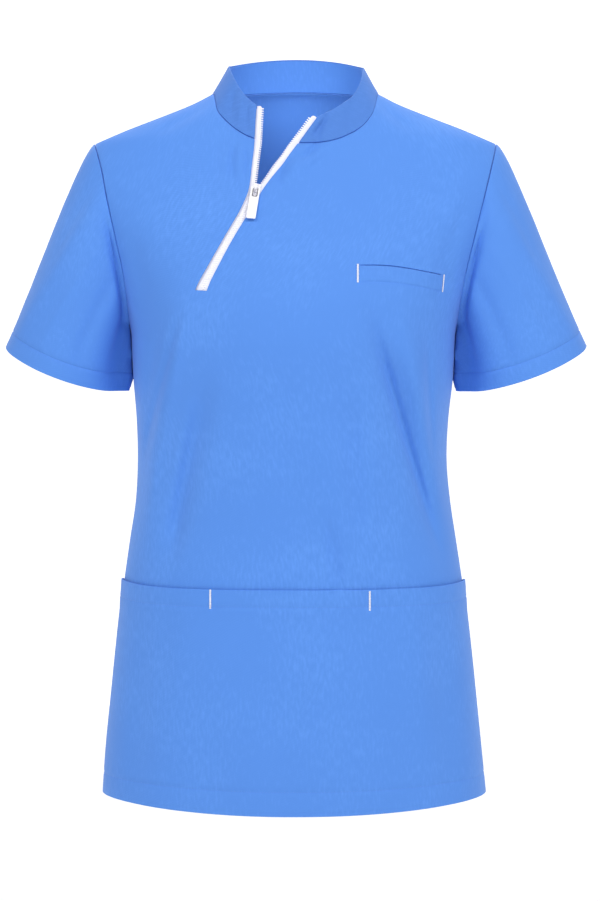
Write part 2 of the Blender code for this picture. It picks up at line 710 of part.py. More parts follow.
def build_pull(frame, material, collection, cutters):
    """The tab with its window; its origin is on the cross bar that turns in the bail."""
    below = -(TAB_LENGTH / 2 - BAR_RADIUS)
    tab = box("zip_pull", (TAB_WIDTH, TAB_LENGTH - 0.0012, TAB_WALL), (0, below - 0.0006, 0),
              0.0006, material, collection)
    window = box("pull_window", (WINDOW[0], WINDOW[1] + 0.010, TAB_WALL * 3),
                 (0, -BAR_RADIUS - WINDOW[1] + (WINDOW[1] + 0.010) / 2, 0), 0.0, material, collection)
    bm = bmesh.new()
    bmesh.ops.create_cone(bm, cap_ends=True, segments=16, radius1=BAR_RADIUS, radius2=BAR_RADIUS,
                          depth=TAB_WIDTH - 0.0006)
    bmesh.ops.rotate(bm, verts=bm.verts, cent=(0, 0, 0), matrix=Matrix.Rotation(math.pi / 2, 3, "Y"))
    mesh = bpy.data.meshes.new("pull_bar")
    bm.to_mesh(mesh)
    bm.free()
    bar = add_object("pull_bar", mesh, material, collection)
    for thing in (tab, window, bar):
        thing.matrix_world = frame
    join_with(tab, (window,), "DIFFERENCE", cutters)
    return join_with(tab, (bar,), "UNION", cutters)


# ---------------------------------------------------------------- the whole top
def build():
    scene = bpy.context.scene
    top = bpy.data.collections.new("scrub_top")
    cutters = bpy.data.collections.new("cutters")
    scene.collection.children.link(top)
    scene.collection.children.link(cutters)
    paint = {name: make_material(name) for name in COLOURS}
    blue, inner_blue = paint["cloth_blue"], paint["cloth_blue_inner"]

    front, column = front_grid()
    back = back_grid()
    slit = {(i, column) for i in range(ZIP_END_ROW, len(front) - 1)}
    edges = dict(last=SEAM, start=SEAM, end=SEAM)
    sew("front", trimmed(front, **edges), CLOTH, blue, top, left_out=slit)
    sew("back", trimmed(back, **edges), CLOTH, blue, top)

    for name, sizes in SLEEVES.items():
        sew(name, sleeve_grid(*sizes), CLOTH, blue, top, closed=True)

    collar = collar_grid(front, column, back)
    sew("collar_outer", trimmed(collar, first=COLLAR_SEAM), COLLAR_CLOTH, blue, top)
    stations = len(collar[0])
    apart = COLLAR_CLOTH + 0.0004
    room = TAPE + 0.0014

    def layer_depth(i, j):
        return -(apart + (room if min(j, stations - 1 - j) < 2 else 0.0))
    lining = moved(trimmed(collar, first=COLLAR_SEAM), layer_depth, from_axis)
    sew("collar_inner", lining, COLLAR_CLOTH, inner_blue, top)

    lay = CLOTH + LAID

    def pocket_depth(i, j):
        return lay + (MOUTH_LIFT if i == MOUTH_ROW else 0.0)
    pocket = moved(front[:MOUTH_ROW + 1], pocket_depth, forward)
    sew("pocket_panel", trimmed(pocket, first=0.0005, start=0.0006, end=0.0006), CLOTH, blue, top)

    welt = []
    for share in (0.0, 0.5, 1.0):
        welt.append([body_point("front", x, z - WELT_HEIGHT * (1 - share), FRONT_FOLDS) for x, z in WELT])
    welt = moved(welt, lambda i, j: CLOTH / 2 + WELT_GAP + 0.0005, forward)
    sew("chest_welt", welt, 0.0010, blue, top)

    right_tape = tape_grid(front, collar, column, -1, 1, 0)
    left_tape = tape_grid(front, collar, column + 1, 1, 2, -1)
    sew("zip_tape_right", right_tape, TAPE, paint["tape_white"], top)
    sew("zip_tape_left", left_tape, TAPE, paint["tape_white"], top)

    origin, out = slider_frame(front, column)
    frame = placed(origin, *leaning(out, SLIDER_LEAN))
    build_slider(frame, paint["slider_white"], top, cutters)
    bar = frame @ Vector((0, BAR_ALONG, BAR_OUT))
    across, along, out = leaning(out, PULL_LEAN)
    tilt = Matrix.Rotation(-PULL_REST, 3, across)
    build_pull(placed(bar, across, tilt @ along, tilt @ out), paint["pull_white"], top, cutters)


build()
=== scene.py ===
# %% [markdown]
# # A scrub top
# A scrub top is a pullover of light woven cloth with short sleeves. This one has a stand
# collar, a zip that slants from the collar across the chest, a slit pocket on the chest
# and a wide pocket panel at the hem. It is filled out as if someone wore it. The packed
# model gives the place and size of every sewn piece. This script makes the cloth, the
# seams, the zip and the light around that frame, one cell at a time.

# %% Load the frame
import math

import bmesh
import bpy
import numpy as np
from mathutils import Matrix, Vector, noise


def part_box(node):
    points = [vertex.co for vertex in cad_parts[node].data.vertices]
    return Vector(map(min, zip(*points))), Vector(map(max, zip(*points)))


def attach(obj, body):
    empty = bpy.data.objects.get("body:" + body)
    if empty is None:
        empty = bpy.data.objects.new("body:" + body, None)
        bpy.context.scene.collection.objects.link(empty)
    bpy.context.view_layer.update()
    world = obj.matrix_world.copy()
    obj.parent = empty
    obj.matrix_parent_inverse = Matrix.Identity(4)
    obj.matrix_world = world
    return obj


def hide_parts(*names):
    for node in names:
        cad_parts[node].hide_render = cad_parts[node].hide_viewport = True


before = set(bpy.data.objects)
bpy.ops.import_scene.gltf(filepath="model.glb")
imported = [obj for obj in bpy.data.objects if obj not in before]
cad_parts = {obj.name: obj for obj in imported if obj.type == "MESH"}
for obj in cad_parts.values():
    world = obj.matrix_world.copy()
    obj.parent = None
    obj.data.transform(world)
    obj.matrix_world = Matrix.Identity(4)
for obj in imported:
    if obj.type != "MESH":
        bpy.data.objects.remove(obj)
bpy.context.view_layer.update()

# %% [markdown]
# ## Camera, floor and light
# The picture is taken straight from the front, a little below the middle of the chest,
# from three metres away: at that distance a garment keeps its proportions. The cloth is
# lit as in a shop's studio: two large soft lamps high in front, the right one stronger, so
# that the folds read, weak ones from both sides and behind for the edges, and a pale sweep
# that throws light back. The sweep's far wall also glows of itself, so that the ground is as
# pale as the photo's, and one small lamp inside the neck opens up its shade. How much each
# lamp gives was worked out from the picture, lamp by lamp.

# %% Camera
CAMERA_PLACE = (0.0045, -3.0, -0.356)
PICTURE = (600, 901)             # pixels, across and up
PIXEL = 0.001                    # one millimetre a pixel, in the plane of the side seams
SENSOR = 36.0                    # along the picture's long side, in millimetres

camera = bpy.data.objects.new("camera", bpy.data.cameras.new("camera"))
camera.location = CAMERA_PLACE
camera.rotation_euler = (math.radians(90), 0, 0)
camera.data.sensor_width = SENSOR
camera.data.lens = SENSOR * abs(CAMERA_PLACE[1]) / (PICTURE[1] * PIXEL)
bpy.context.scene.collection.objects.link(camera)
bpy.context.scene.camera = camera
bpy.context.scene.view_settings.view_transform = "Standard"
print("lens", round(camera.data.lens, 1), "mm")


# %% Colours and nodes
def linear(code):
    """A colour written as #RRGGBB, as the linear values that a shader takes."""
    parts = [int(code[i:i + 2], 16) / 255 for i in (1, 3, 5)]
    return [p / 12.92 if p <= 0.04045 else ((p + 0.055) / 1.055) ** 2.4 for p in parts] + [1.0]


def add(tree, kind, links=(), **settings):
    """Adds a node. Settings are its properties; links are (input, value or output)."""
    node = tree.nodes.new(kind)
    for name, value in settings.items():
        setattr(node, name, value)
    for slot, value in links:
        if isinstance(value, bpy.types.NodeSocket):
            tree.links.new(value, node.inputs[slot])
        else:
            node.inputs[slot].default_value = value
    return node


def from_bmesh(name, bm, material, angle=43):
    """An object of a bmesh, smooth but for the edges sharper than an angle in degrees."""
    mesh = bpy.data.meshes.new(name)
    bm.to_mesh(mesh)
    bm.free()
    mesh.materials.append(material)
    mesh.shade_smooth()
    mesh.set_sharp_from_angle(angle=math.radians(angle))
    thing = bpy.data.objects.new(name, mesh)
    bpy.context.scene.collection.objects.link(thing)
    return thing


def new_material(name, colour, roughness, **shader_values):
    material = bpy.data.materials.new(name)
    material.use_nodes = True
    tree = material.node_tree
    shader = tree.nodes["Principled BSDF"]
    shader.inputs["Base Color"].default_value = linear(colour)
    shader.inputs["Roughness"].default_value = roughness
    for key, value in shader_values.items():
        shader.inputs[key.replace("_", " ")].default_value = value
    return material, tree, shader


def fine_grained(name, colour, roughness, grain, strength=0.3, height=0.00003, **shader_values):
    """A plain material with a fine, faint unevenness, grain metres across."""
    material, tree, shader = new_material(name, colour, roughness, **shader_values)
    place = add(tree, "ShaderNodeTexCoord").outputs["Object"]
    noise_field = add(tree, "ShaderNodeTexNoise", [("Vector", place), ("Scale", 1 / grain), ("Detail", 2.0)])
    bump = add(tree, "ShaderNodeBump", [("Height", noise_field.outputs["Fac"]), ("Strength", strength),
                                        ("Distance", height)])
    tree.links.new(bump.outputs[0], shader.inputs["Normal"])
    return material


# %% Floor, backdrop and lamps
FLOOR_LEVEL = -0.97
SWEEP = ((-4.5, 0.0), (4.4, 0.0), (5.3, 0.12), (5.9, 0.5), (6.3, 1.4), (6.4, 9.5))   # y, height
SWEEP_HALF = 12.0
GLOW_FROM, GLOW_TO = 1.2, 4.4   # y where the paper starts to glow more, and where it is full
PAPER_GLOW = (0.10, 0.55)       # on the floor by the object, and on the far wall
ROOM_LIGHT = 0.33               # from all round
CHEST = (0, 0, -0.33)
LAMPS = (       # name, place, where it points, width and watts
    ("key", (1.4, -2.1, 2.0), CHEST, 1.2, 52),
    ("fill", (-1.4, -2.1, 2.0), CHEST, 1.2, 36),
    ("front", (0, -3.0, 0.9), CHEST, 1.2, 6),
    ("left_edge", (-2.6, -0.8, 0.3), CHEST, 1.4, 8),
    ("right_edge", (2.6, -0.8, 0.3), CHEST, 1.4, 6),
    ("back_top", (0, 1.3, 2.0), CHEST, 1.2, 24),
    ("inside_the_neck", (0.0, -0.030, -0.035), (0.0, 0.08, 0.01), 0.05, 0.05),
)


def make_sweep():
    bm = bmesh.new()
    line = [bm.verts.new((-SWEEP_HALF, y, FLOOR_LEVEL + height)) for y, height in SWEEP]
    edges = [bm.edges.new(pair) for pair in zip(line, line[1:])]
    made = bmesh.ops.extrude_edge_only(bm, edges=edges)["geom"]
    far_side = [g for g in made if isinstance(g, bmesh.types.BMVert)]
    bmesh.ops.translate(bm, vec=(2 * SWEEP_HALF, 0, 0), verts=far_side)
    bmesh.ops.recalc_face_normals(bm, faces=bm.faces)
    paper, tree, shader = new_material("seamless_white_paper", "#F7F7F7", 0.95)
    shader.inputs["Emission Color"].default_value = (1, 1, 1, 1)
    place = add(tree, "ShaderNodeTexCoord").outputs["Object"]
    depth = add(tree, "ShaderNodeSeparateXYZ", [("Vector", place)]).outputs["Y"]
    glow = add(tree, "ShaderNodeMapRange", [
        ("Value", depth), ("From Min", GLOW_FROM), ("From Max", GLOW_TO),
        ("To Min", PAPER_GLOW[0]), ("To Max", PAPER_GLOW[1])])
    tree.links.new(glow.outputs["Result"], shader.inputs["Emission Strength"])
    from_bmesh("studio_sweep", bm, paper)


def add_lamp(name, place, aim, size, power):
    lamp = bpy.data.lights.new(name, "AREA")
    lamp.shape = "DISK"
    lamp.size = size
    lamp.energy = power
    thing = bpy.data.objects.new(name, lamp)
    thing.location = place
    thing.rotation_euler = (Vector(aim) - Vector(place)).to_track_quat("-Z", "Y").to_euler()
    thing.visible_camera = False
    bpy.context.scene.collection.objects.link(thing)


make_sweep()
world = bpy.data.worlds.new("studio")
bpy.context.scene.world = world
world.use_nodes = True
sky = world.node_tree.nodes["Background"]
sky.inputs["Color"].default_value = (1, 1, 1, 1)
sky.inputs["Strength"].default_value = ROOM_LIGHT
for lamp in LAMPS:
    add_lamp(*lamp)

# %% [markdown]
# ## The form of the body
# The cloth keeps a smooth form that can be read from level sections: a front curve and a
# back curve that meet at the side seams, the shoulder seams and the armholes. The numbers
# here are the cut's own sizes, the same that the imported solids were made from, so a fine
# grid of points read from them lies exactly on those solids. All lengths are in metres.

# %% Body sizes
def metres(rows):
    """A table written in millimetres."""
    return tuple(tuple(v / 1000 for v in row) for row in rows)


BODY_COLUMNS = ("level", "left", "right", "front", "back")
BODY = metres((
    (-704, 191.2, 189, 140, 129),
    (-646, 187.2, 183.2, 138, 127),
    (-606, 183.2, 179.2, 136, 124.5),
    (-566, 179.2, 175.2, 135, 121.5),
    (-526, 175, 170.8, 133, 117),
    (-486, 170.5, 166, 132, 111),
    (-446, 165, 160, 131, 103),
    (-406, 159, 154, 132, 95),
    (-366, 157, 150.5, 135, 91),
    (-326, 158, 152, 139, 93),
    (-285, 161.2, 156.5, 144, 97),
    (-250, 163, 158.5, 147, 102),
    (-215, 165.2, 161.5, 144, 107),
    (-179, 169.3, 167.5, 133, 109.5),
    (-148, 176.2, 175.2, 118, 107.5),
    (-110, 185, 185, 100, 100.5),
    (-77, 192, 193.5, 84, 90),
    (-50, 200.5, 200.5, 70, 79),
))
SHOULDER = metres((
    (-50, 200.5, 200.5, 70, 79),
    (-36, 167.8, 167.8, 63, 73),
    (-22, 131.5, 131.5, 55, 67),
    (-10, 102, 102, 47, 62),
    (0, 82.5, 82.5, 41, 57),
    (10, 60, 60, 34, 52),
))
ROUND = 2.25            # how square the sections are; 2 is an ellipse
TIP_LEVEL = -0.050      # top of the armhole
UNDERARM_LEVEL = -0.240
ARMHOLE_DEPTH = {"front": 0.060, "back": 0.066}
HEM_RISE = 0.010        # of the hem, from the middle to the side seams
LOWER_ROWS = (-0.704, -0.682, -0.652, -0.618, -0.584, -0.552, -0.521, -0.4905, -0.465, -0.440,
              -0.414, -0.388, -0.362, -0.336, -0.311, -0.287, -0.263, UNDERARM_LEVEL)
MOUTH_LEVEL = -0.4905   # of the lower pockets
ARMHOLE_ROWS = (0, 15, 33, 53.1, 69, 84, 98, 111, 124, 137, 150, 165, 180)
ZIP_END_TURN = 53.1     # the row that meets the zip's lower end
DRIFT = 3               # how late the columns move to their places on the top edge
SHOULDER_SPANS = 7
BACK_NECK_SPANS = 10
PER_SPAN = 8            # fine columns for each span between two stations
FINE = 0.0042           # spacing of the fine rows
BAND_LEVEL = -0.5060    # of the stitching below the pockets' mouth
NEAR = 0.0014           # from a stitched row to the rows beside it


# %% Reading the tables
def smooth(t):
    t = np.clip(t, 0.0, 1.0)
    return t * t * (3 - 2 * t)


def on_hermite(t, start, start_way, end, end_way):
    """A smooth curve from start to end that sets out and arrives in given ways."""
    return ((2 * t ** 3 - 3 * t ** 2 + 1) * start + (t ** 3 - 2 * t ** 2 + t) * start_way
            + (3 * t ** 2 - 2 * t ** 3) * end + (t ** 3 - t ** 2) * end_way)


def read(rows, at, value):
    """A column of a table at the given value of its first column, on a smooth curve."""
    value = min(rows[-1][0], max(rows[0][0], value))
    k = 0
    while k < len(rows) - 2 and value > rows[k + 1][0]:
        k += 1
    x0, x1 = rows[k][0], rows[k + 1][0]
    y0, y1 = rows[k][at], rows[k + 1][at]
    step = x1 - x0
    slope = (y1 - y0) / step
    before = slope if k == 0 else (y0 - rows[k - 1][at]) / (x0 - rows[k - 1][0])
    after = slope if k == len(rows) - 2 else (rows[k + 2][at] - y1) / (rows[k + 2][0] - x1)
    m0, m1 = (before + slope) / 2, (slope + after) / 2
    return on_hermite((value - x0) / step, y0, step * m0, y1, step * m1)


def section(name, level):
    return read(BODY if level < TIP_LEVEL else SHOULDER, BODY_COLUMNS.index(name), level)


def side_x(side, level):
    return side * section("left" if side < 0 else "right", level)


def armhole_half(part, level):
    """Half depth of the armhole at a level: 0 at the shoulder tip and the underarm."""
    q = (TIP_LEVEL - level) / (TIP_LEVEL - UNDERARM_LEVEL)
    return ARMHOLE_DEPTH[part] * math.sqrt(max(0.0, 1 - (2 * q - 1) ** 2)) if 0 < q < 1 else 0.0


def armhole_level(degrees):
    middle = (TIP_LEVEL + UNDERARM_LEVEL) / 2
    return middle - (TIP_LEVEL - UNDERARM_LEVEL) / 2 * math.cos(math.radians(degrees))


def shoulder_level(x):
    """Level of the shoulder seam at a distance from the middle."""
    low, high = TIP_LEVEL, SHOULDER[-2][0]
    for _ in range(40):
        mid = (low + high) / 2
        if section("right", mid) > abs(x):
            low = mid
        else:
            high = mid
    return (low + high) / 2


def body_depth(part, x, level):
    full = section(part, level)
    half = abs(side_x(-1 if x < 0 else 1, level))
    edge = armhole_half(part, level)
    reach = half / (1 - (edge / full) ** ROUND) ** (1 / ROUND)
    return full * max(0.0, 1 - (abs(x) / reach) ** ROUND) ** (1 / ROUND)


print("bust", round(4 * 0.8 * (section("left", -0.25) + section("front", -0.25)) / 2, 2), "m round, roughly")

# %% [markdown]
# ## Folds
# Worn cloth isn't a smooth tube. It hangs from the bust in long soft folds towards the
# waist, drags from the collar to the shoulders and puckers beside a zip. Each fold is one
# row of a table: where it starts and ends, how far it bows to one side, its half width and
# how far it stands out. A minus sign makes a trough. They are placed one by one, uneven in
# length, depth and spacing, as cloth is. The hidden sides get similar ones.

# %% Folds of the front and back
# each row: x0, z0, x1, z1, bow, half width, out
FRONT_FOLDS = metres((
    (-112.9, -230, -150, -430, 4, 14, 8.5),
    (-133, -255, -150, -350, 2, 11, -8),
    (-86, -300, -125, -456, -3, 12, -6.5),
    (78.6, -240, 140, -445, 0, 14, -5),
    (107.8, -235, 153, -430, 3, 13, 7.5),
    (30, -340, 62, -480, 0, 24, 3),
    (33, -430, 42, -488, 0, 6, -3.2),
    (17, -62, -6, -82, 0, 12, 4),
    (-52, -56, -54, -80, 0, 10, 2.5),
    (-145, -530, -156, -690, 0, 14, -3),
    (140, -540, 150, -690, 0, 15, -3),
    # finer ones that the solids leave out
    (-116.5, -243, -153, -374, 0, 5, -8.6),
    (-94, -320, -116, -450, 2, 7, -3),
    (79, -250, 132.5, -429, 0, 4.8, -7.6),
    (128.5, -260, 134.5, -362, 1, 4.4, -5.6),
    (116, -280, 128, -370, 1, 6, 1.6),
    (54, -320, 63, -440, 2, 8, -3),
    (70, -300, 80, -420, 0, 9.5, 1.8),
    (36, -280, 48, -360, 0, 10, -1.8),
    (-6, -290, -14, -370, 0, 12, -1.2),
    (152, -85, 133, -125, 3, 7, -1.4),
    (164, -100, 149, -145, 2, 6, 1.3),
    (-118, -300, -142, -400, -2, 4.5, 1),
    (-99, -350, -116, -430, 2, 6, -1),
    (90, -270, 112, -350, -2, 7, -1.4),
    (132, -330, 147, -420, 2, 6, 1.2),
    (21, -56, 0, -70, -4, 3.6, -4),
    (-3, -70, -15, -96, 3, 3.6, -4),
    (30, -60, 9, -79, 0, 4, 1.8),
    (-58.5, -58, -60, -92, 3, 3.6, -2.6),
    (-50, -58, -49, -90, -2, 2.6, -2),
    (-70, -48, -78, -90, 2, 7, -1),
    (-90, -16, -135, -42, -2, 4.5, -2.6),
    (85, -15, 115, -40, 2, 4.5, -2.6),
    (100, -20, 145, -48, 0, 6, -1),
    (-162, -150, -148, -235, -3, 12, -2.2),
    (156, -130, 142, -225, 3, 11, -2),
    (123, -90, 129, -170, 0, 10, -1),
    (-120, -510, -128, -590, 2, 10, -1.2),
    (113, -500, 123, -600, 0, 12, 1.2),
    (-50, -600, -40, -690, 0, 22, 1.2),
    (60, -590, 72, -690, 0, 24, 1.2),
))
BACK_FOLDS = metres((
    (-95, -230, -118, -450, -4, 18, -6),
    (88, -240, 115, -470, 4, 18, -6),
    (-60, -300, -80, -520, 3, 20, 4.5),
    (56, -290, 72, -510, -3, 21, 4.5),
    (-15, -340, 8, -560, 4, 18, -3.5),
    (100, -560, 112, -695, 0, 18, 4),
    (-108, -550, -115, -695, 0, 18, 4),
    (-115, -90, -135, -210, 3, 18, 3.5),
    (112, -88, 133, -205, -3, 18, 3.5),
    # finer ones that the solids leave out
    (-125, -260, -142, -370, -3, 7, -1.8),
    (124, -250, 139, -380, 3, 7, -1.8),
    (-80, -330, -95, -430, 2, 6, 1.4),
    (78, -320, 93, -425, -2, 6, 1.4),
    (-30, -300, -42, -410, 3, 8, -1.2),
    (31, -330, 25, -460, -2, 9, -1.2),
    (-90, -30, -150, -70, 4, 8, -1.2),
    (92, -29, 148, -68, -4, 8, -1.2),
    (-35, -20, -60, -70, 2, 9, -0.9),
    (33, -18, 62, -74, -2, 9, -0.9),
    (-152, -140, -140, -230, 3, 11, -2),
    (150, -150, 137, -235, -3, 11, -2),
    (-70, -560, -64, -690, 0, 20, -1.8),
    (30, -570, 34, -695, 0, 22, -1.6),
))
CALM_EDGE, CALM_DEPTH = 0.022, 0.030      # how near the sides the folds and dimples fade
DIMPLE = 0.0012         # slow unevenness all over, 15 to 120 mm across
DIMPLES = ((11, 8, 1.0), (26, 17, 0.45), (56, 44, 0.11))      # waves a metre, share
FRONT_SHIFT, BACK_SHIFT = 3.7, 9.1        # places in the noise field


def over_length(along):
    """A fold's share of its height: full over its length, soft past both ends."""
    return smooth((along + 0.25) / 0.5) * smooth((1.25 - along) / 0.5)


def fold_height(folds, x, z):
    """How far the folds move each point of a surface. x and z are arrays."""
    total = np.zeros_like(x)
    for x0, z0, x1, z1, bow, half, out in folds:
        run = np.array((x1 - x0, z1 - z0))
        length = float(np.hypot(*run))
        along = ((x - x0) * run[0] + (z - z0) * run[1]) / length ** 2
        aside = ((x - x0) * run[1] - (z - z0) * run[0]) / length
        aside = aside - bow * 4 * np.clip(along, 0, 1) * (1 - np.clip(along, 0, 1))
        total += out * over_length(along) * np.exp(-(aside / half) ** 2)
    return total


def dimples(x, z, shift):
    """Slow, shallow unevenness from a noise field, the same at each run."""
    spots = np.stack([x, z], axis=-1).reshape(-1, 2)
    heights = [sum(size * noise.noise(Vector((p[0] * across, p[1] * along, shift)))
                   for across, along, size in DIMPLES) for p in spots]
    return DIMPLE * np.array(heights).reshape(x.shape)


print("folds", len(FRONT_FOLDS), "front,", len(BACK_FOLDS), "back")

# %% [markdown]
# ## Panels as grids
# A sewn panel is a grid of points: rows run round the body, columns run from the hem to
# the shoulder or the neck. Where two panels share a seam their grids share its stations,
# so the seam closes by itself. The rows are read finely enough for folds a few
# millimetres wide.

# %% Neck, collar and zip sizes
# each row: base x and z, top x, y and z, from the shoulder to the zip
NECK_LEFT = metres((
    (-82.5, 0, -66.5, 0, 28),
    (-80.3, -4.5, -65, -16, 21.5),
    (-76.7, -20.8, -60.5, -34, 10.5),
    (-69.6, -30.7, -55.5, -43.5, 1),
    (-59.6, -40.2, -50, -51.5, -7),
    (-49, -47.3, -43.5, -57.2, -13.8),
    (-39.9, -51.3, -38, -60.5, -18),
))
NECK_RIGHT = metres((
    (82.5, 0, 68, 0, 26.5),
    (81.2, -6, 66.8, -20, 16),
    (76, -24, 62.5, -37, 2.5),
    (64.8, -38.6, 56, -48, -8),
    (50, -47.8, 48, -56, -14.8),
    (34.9, -53.2, 39, -61, -20.8),
    (18.5, -55.5, 30, -64, -25.8),
    (3.2, -55.8, 21.2, -66, -30),
))
BACK_NECK_RISE = 0.008
COLLAR_BACK_Y = 0.047
COLLAR_BACK_Z = 0.040
OPENING = metres((      # level, left and right cloth edge beside the zip; below it, guides
    (-704, -55, -35),
    (-450, -64, -50),
    (-300, -85, -73),
    (-240, -101, -89.5),
    (-203, -96.2, -84.6),
    (-176, -82.3, -72.2),
    (-149, -67.4, -58),
    (-121, -52, -41.4),
    (-103, -45.1, -31.2),
    (-88.5, -43.2, -21),
    (-75.7, -42, -11.2),
    (-65, -40.8, -3.8),
    (-54, -40, 4.5),
))
GAP_SPANS = 4            # fine columns under the zip's lower end


# %% Rows and columns
def unit(v):
    return v / np.maximum(np.linalg.norm(v, axis=-1, keepdims=True), 1e-12)


def cut_finely(stations, length_of):
    """Stations with more of them between, about FINE apart; the given ones stay."""
    fine = []
    for low, high in zip(stations, stations[1:]):
        count = max(1, round(abs(length_of(high) - length_of(low)) / FINE))
        fine += [low + (high - low) * k / count for k in range(count)]
    return fine + [stations[-1]]


def on_a_curve(rows, count):
    """Rows of a table with count - 1 more between each two, on a smooth curve."""
    table = [(k, *row) for k, row in enumerate(rows)]
    stations = [k / count for k in range((len(rows) - 1) * count + 1)]
    return [tuple(read(table, c + 1, s) for c in range(len(rows[0]))) for s in stations]


STITCHED = (LOWER_ROWS[1], BAND_LEVEL)
beside = [level + step for level in STITCHED for step in (-NEAR, 0, NEAR)]
LEVELS = cut_finely(sorted(set(LOWER_ROWS) | set(beside)), lambda z: z)
TURNS = cut_finely(ARMHOLE_ROWS, armhole_level)
RISES = [0.0] * len(LEVELS) + [(1 - math.cos(math.radians(t))) / 2 for t in TURNS[1:]]
MOUTH_ROW = LEVELS.index(MOUTH_LEVEL)
STITCH_ROW = LEVELS.index(LOWER_ROWS[1])
BAND_ROW = LEVELS.index(BAND_LEVEL)
ZIP_END_ROW = len(LEVELS) - 1 + TURNS.index(ZIP_END_TURN)
FINE_LEFT = on_a_curve(NECK_LEFT, PER_SPAN)
FINE_RIGHT = on_a_curve(NECK_RIGHT, PER_SPAN)


def hem_share(z):
    return float(np.interp(z, LOWER_ROWS[:4], (1, 2 / 3, 1 / 3, 0)))


def raised(x, z, rise):
    """A point moved up the form, at the same share of the half width."""
    side = -1 if x < 0 else 1
    return x * side_x(side, z + rise) / side_x(side, z), z + rise


def flat_rows(columns):
    """Where a panel's points lie as seen from the front (x, z), row by row from the hem.
    A column is its top (x, z) and a function that places it in a row."""
    flat = np.zeros((len(RISES), len(columns), 2))
    for i, rise in enumerate(RISES):
        for j, ((top_x, top_z), place) in enumerate(columns):
            z = LEVELS[i] if i < len(LEVELS) else UNDERARM_LEVEL + (top_z - UNDERARM_LEVEL) * rise
            x = place(z, rise)
            if i < len(LEVELS):
                x, z = raised(x, z, HEM_RISE * min(1.0, abs(x) / abs(side_x(1, z))) ** 2 * hem_share(z))
            flat[i, j] = (top_x, top_z) if i == len(RISES) - 1 else (x, z)
    return flat


def on_body(flat, part, folds, shift):
    """Lays such points on the form, folds and all."""
    x, z = flat[..., 0], flat[..., 1]
    depth = np.array([[body_depth(part, *p) for p in row] for row in flat])
    half = np.array([[abs(side_x(-1 if p[0] < 0 else 1, p[1])) for p in row] for row in flat])
    fade = smooth((half - abs(x)) / CALM_EDGE) * smooth(depth / CALM_DEPTH)
    depth = depth + fade * (fold_height(folds, x, z) + dimples(x, z, shift))
    return np.stack([x, depth if part == "back" else -depth, z], axis=-1)


def shoulder_tops(side):
    tip, neck = SHOULDER[0][1], SHOULDER[-2][1]
    count = SHOULDER_SPANS * PER_SPAN
    spots = [tip + (neck - tip) * k / count for k in range(count)]
    return [(side * x, shoulder_level(x)) for x in spots]


def half_columns(side, tops, inner):
    """Columns from the side edge to an inner line (a function of the level)."""
    count = len(tops) - 1
    tip, (end, inner_top) = tops[0][0], tops[-1]

    def placer(share_low, share_top):
        def place(z, rise):
            share = share_low + (share_top - share_low) * rise ** DRIFT
            edge_z = z if rise == 0 else UNDERARM_LEVEL + (TIP_LEVEL - UNDERARM_LEVEL) * rise
            inner_z = z if rise == 0 else UNDERARM_LEVEL + (inner_top - UNDERARM_LEVEL) * rise
            return side_x(side, edge_z) * (1 - share) + inner(inner_z) * share
        return place
    return [(top, placer(1 - math.cos(math.pi / 2 * k / count), (tip - top[0]) / (tip - end)))
            for k, top in enumerate(tops)]


def front_places():
    left = half_columns(-1, shoulder_tops(-1) + [r[:2] for r in FINE_LEFT], lambda z: read(OPENING, 1, z))
    right = half_columns(1, shoulder_tops(1) + [r[:2] for r in FINE_RIGHT], lambda z: read(OPENING, 2, z))
    between = []
    for k in range(1, GAP_SPANS):
        def place(z, rise, t=k / GAP_SPANS):
            return left[-1][1](z, rise) * (1 - t) + right[-1][1](z, rise) * t
        t = k / GAP_SPANS
        top = tuple(a * (1 - t) + b * t for a, b in zip(left[-1][0], right[-1][0]))
        between.append((top, place))
    return flat_rows(left + between + right[::-1]), len(left) - 1


def back_neck_tops(side):
    neck = SHOULDER[-2][1]
    count = BACK_NECK_SPANS * PER_SPAN
    spots = []
    for k in range(count // 2 + 1):
        x = neck * math.cos(math.pi * k / count)
        spots.append((side * x, BACK_NECK_RISE * (1 - (x / neck) ** 2)))
    return spots


def back_places():
    left = half_columns(-1, shoulder_tops(-1) + back_neck_tops(-1), lambda z: -0.002)
    right = half_columns(1, shoulder_tops(1) + back_neck_tops(1), lambda z: -0.002)
    return flat_rows(left + right[::-1][1:])


front_flat, opening = front_places()
front = on_body(front_flat, "front", FRONT_FOLDS, FRONT_SHIFT)
back = on_body(back_places(), "back", BACK_FOLDS, BACK_SHIFT)
print("front grid", front.shape[:2], "back grid", back.shape[:2], "opening at column", opening)

# %% [markdown]
# ## From a grid to cloth
# Cloth has a thickness, a grain and turned edges. A helper measures the grid to give each
# point its place on the flat cloth, in metres: that is the UV map, so the weave keeps its
# size and follows the cut. Another turns an edge inward, as a seam does, so that two
# panels meet in a fine groove and not in a gap. The wall comes from a Solidify modifier.

# %% Cloth helpers
WALL = 0.0008            # of the cloth that shows
SEAM_HALF = 0.0006       # from the seam line to the middle of the turned cloth
ROLL = 0.0015            # where the turning starts
ALLOWANCE = 0.0030       # of each seam's turning that is made


def outward_of(grid, outside):
    """Unit normals of a grid, on the side that outside(points) points to."""
    n = unit(np.cross(np.gradient(grid, axis=1), np.gradient(grid, axis=0)))
    return n * np.where((n * outside(grid)).sum(-1, keepdims=True) < 0, -1, 1)


def forwards(p, y=-1):
    """Roughly the way out of the form, at each point of the front."""
    return np.stack([p[..., 0] * 0.4, np.full(p.shape[:-1], y), np.full(p.shape[:-1], 0.1)], -1)


def backwards(p):
    return forwards(p, 1)


def run_along(line):
    return np.concatenate([[0.0], np.cumsum(np.linalg.norm(np.diff(line, axis=0), axis=1))])


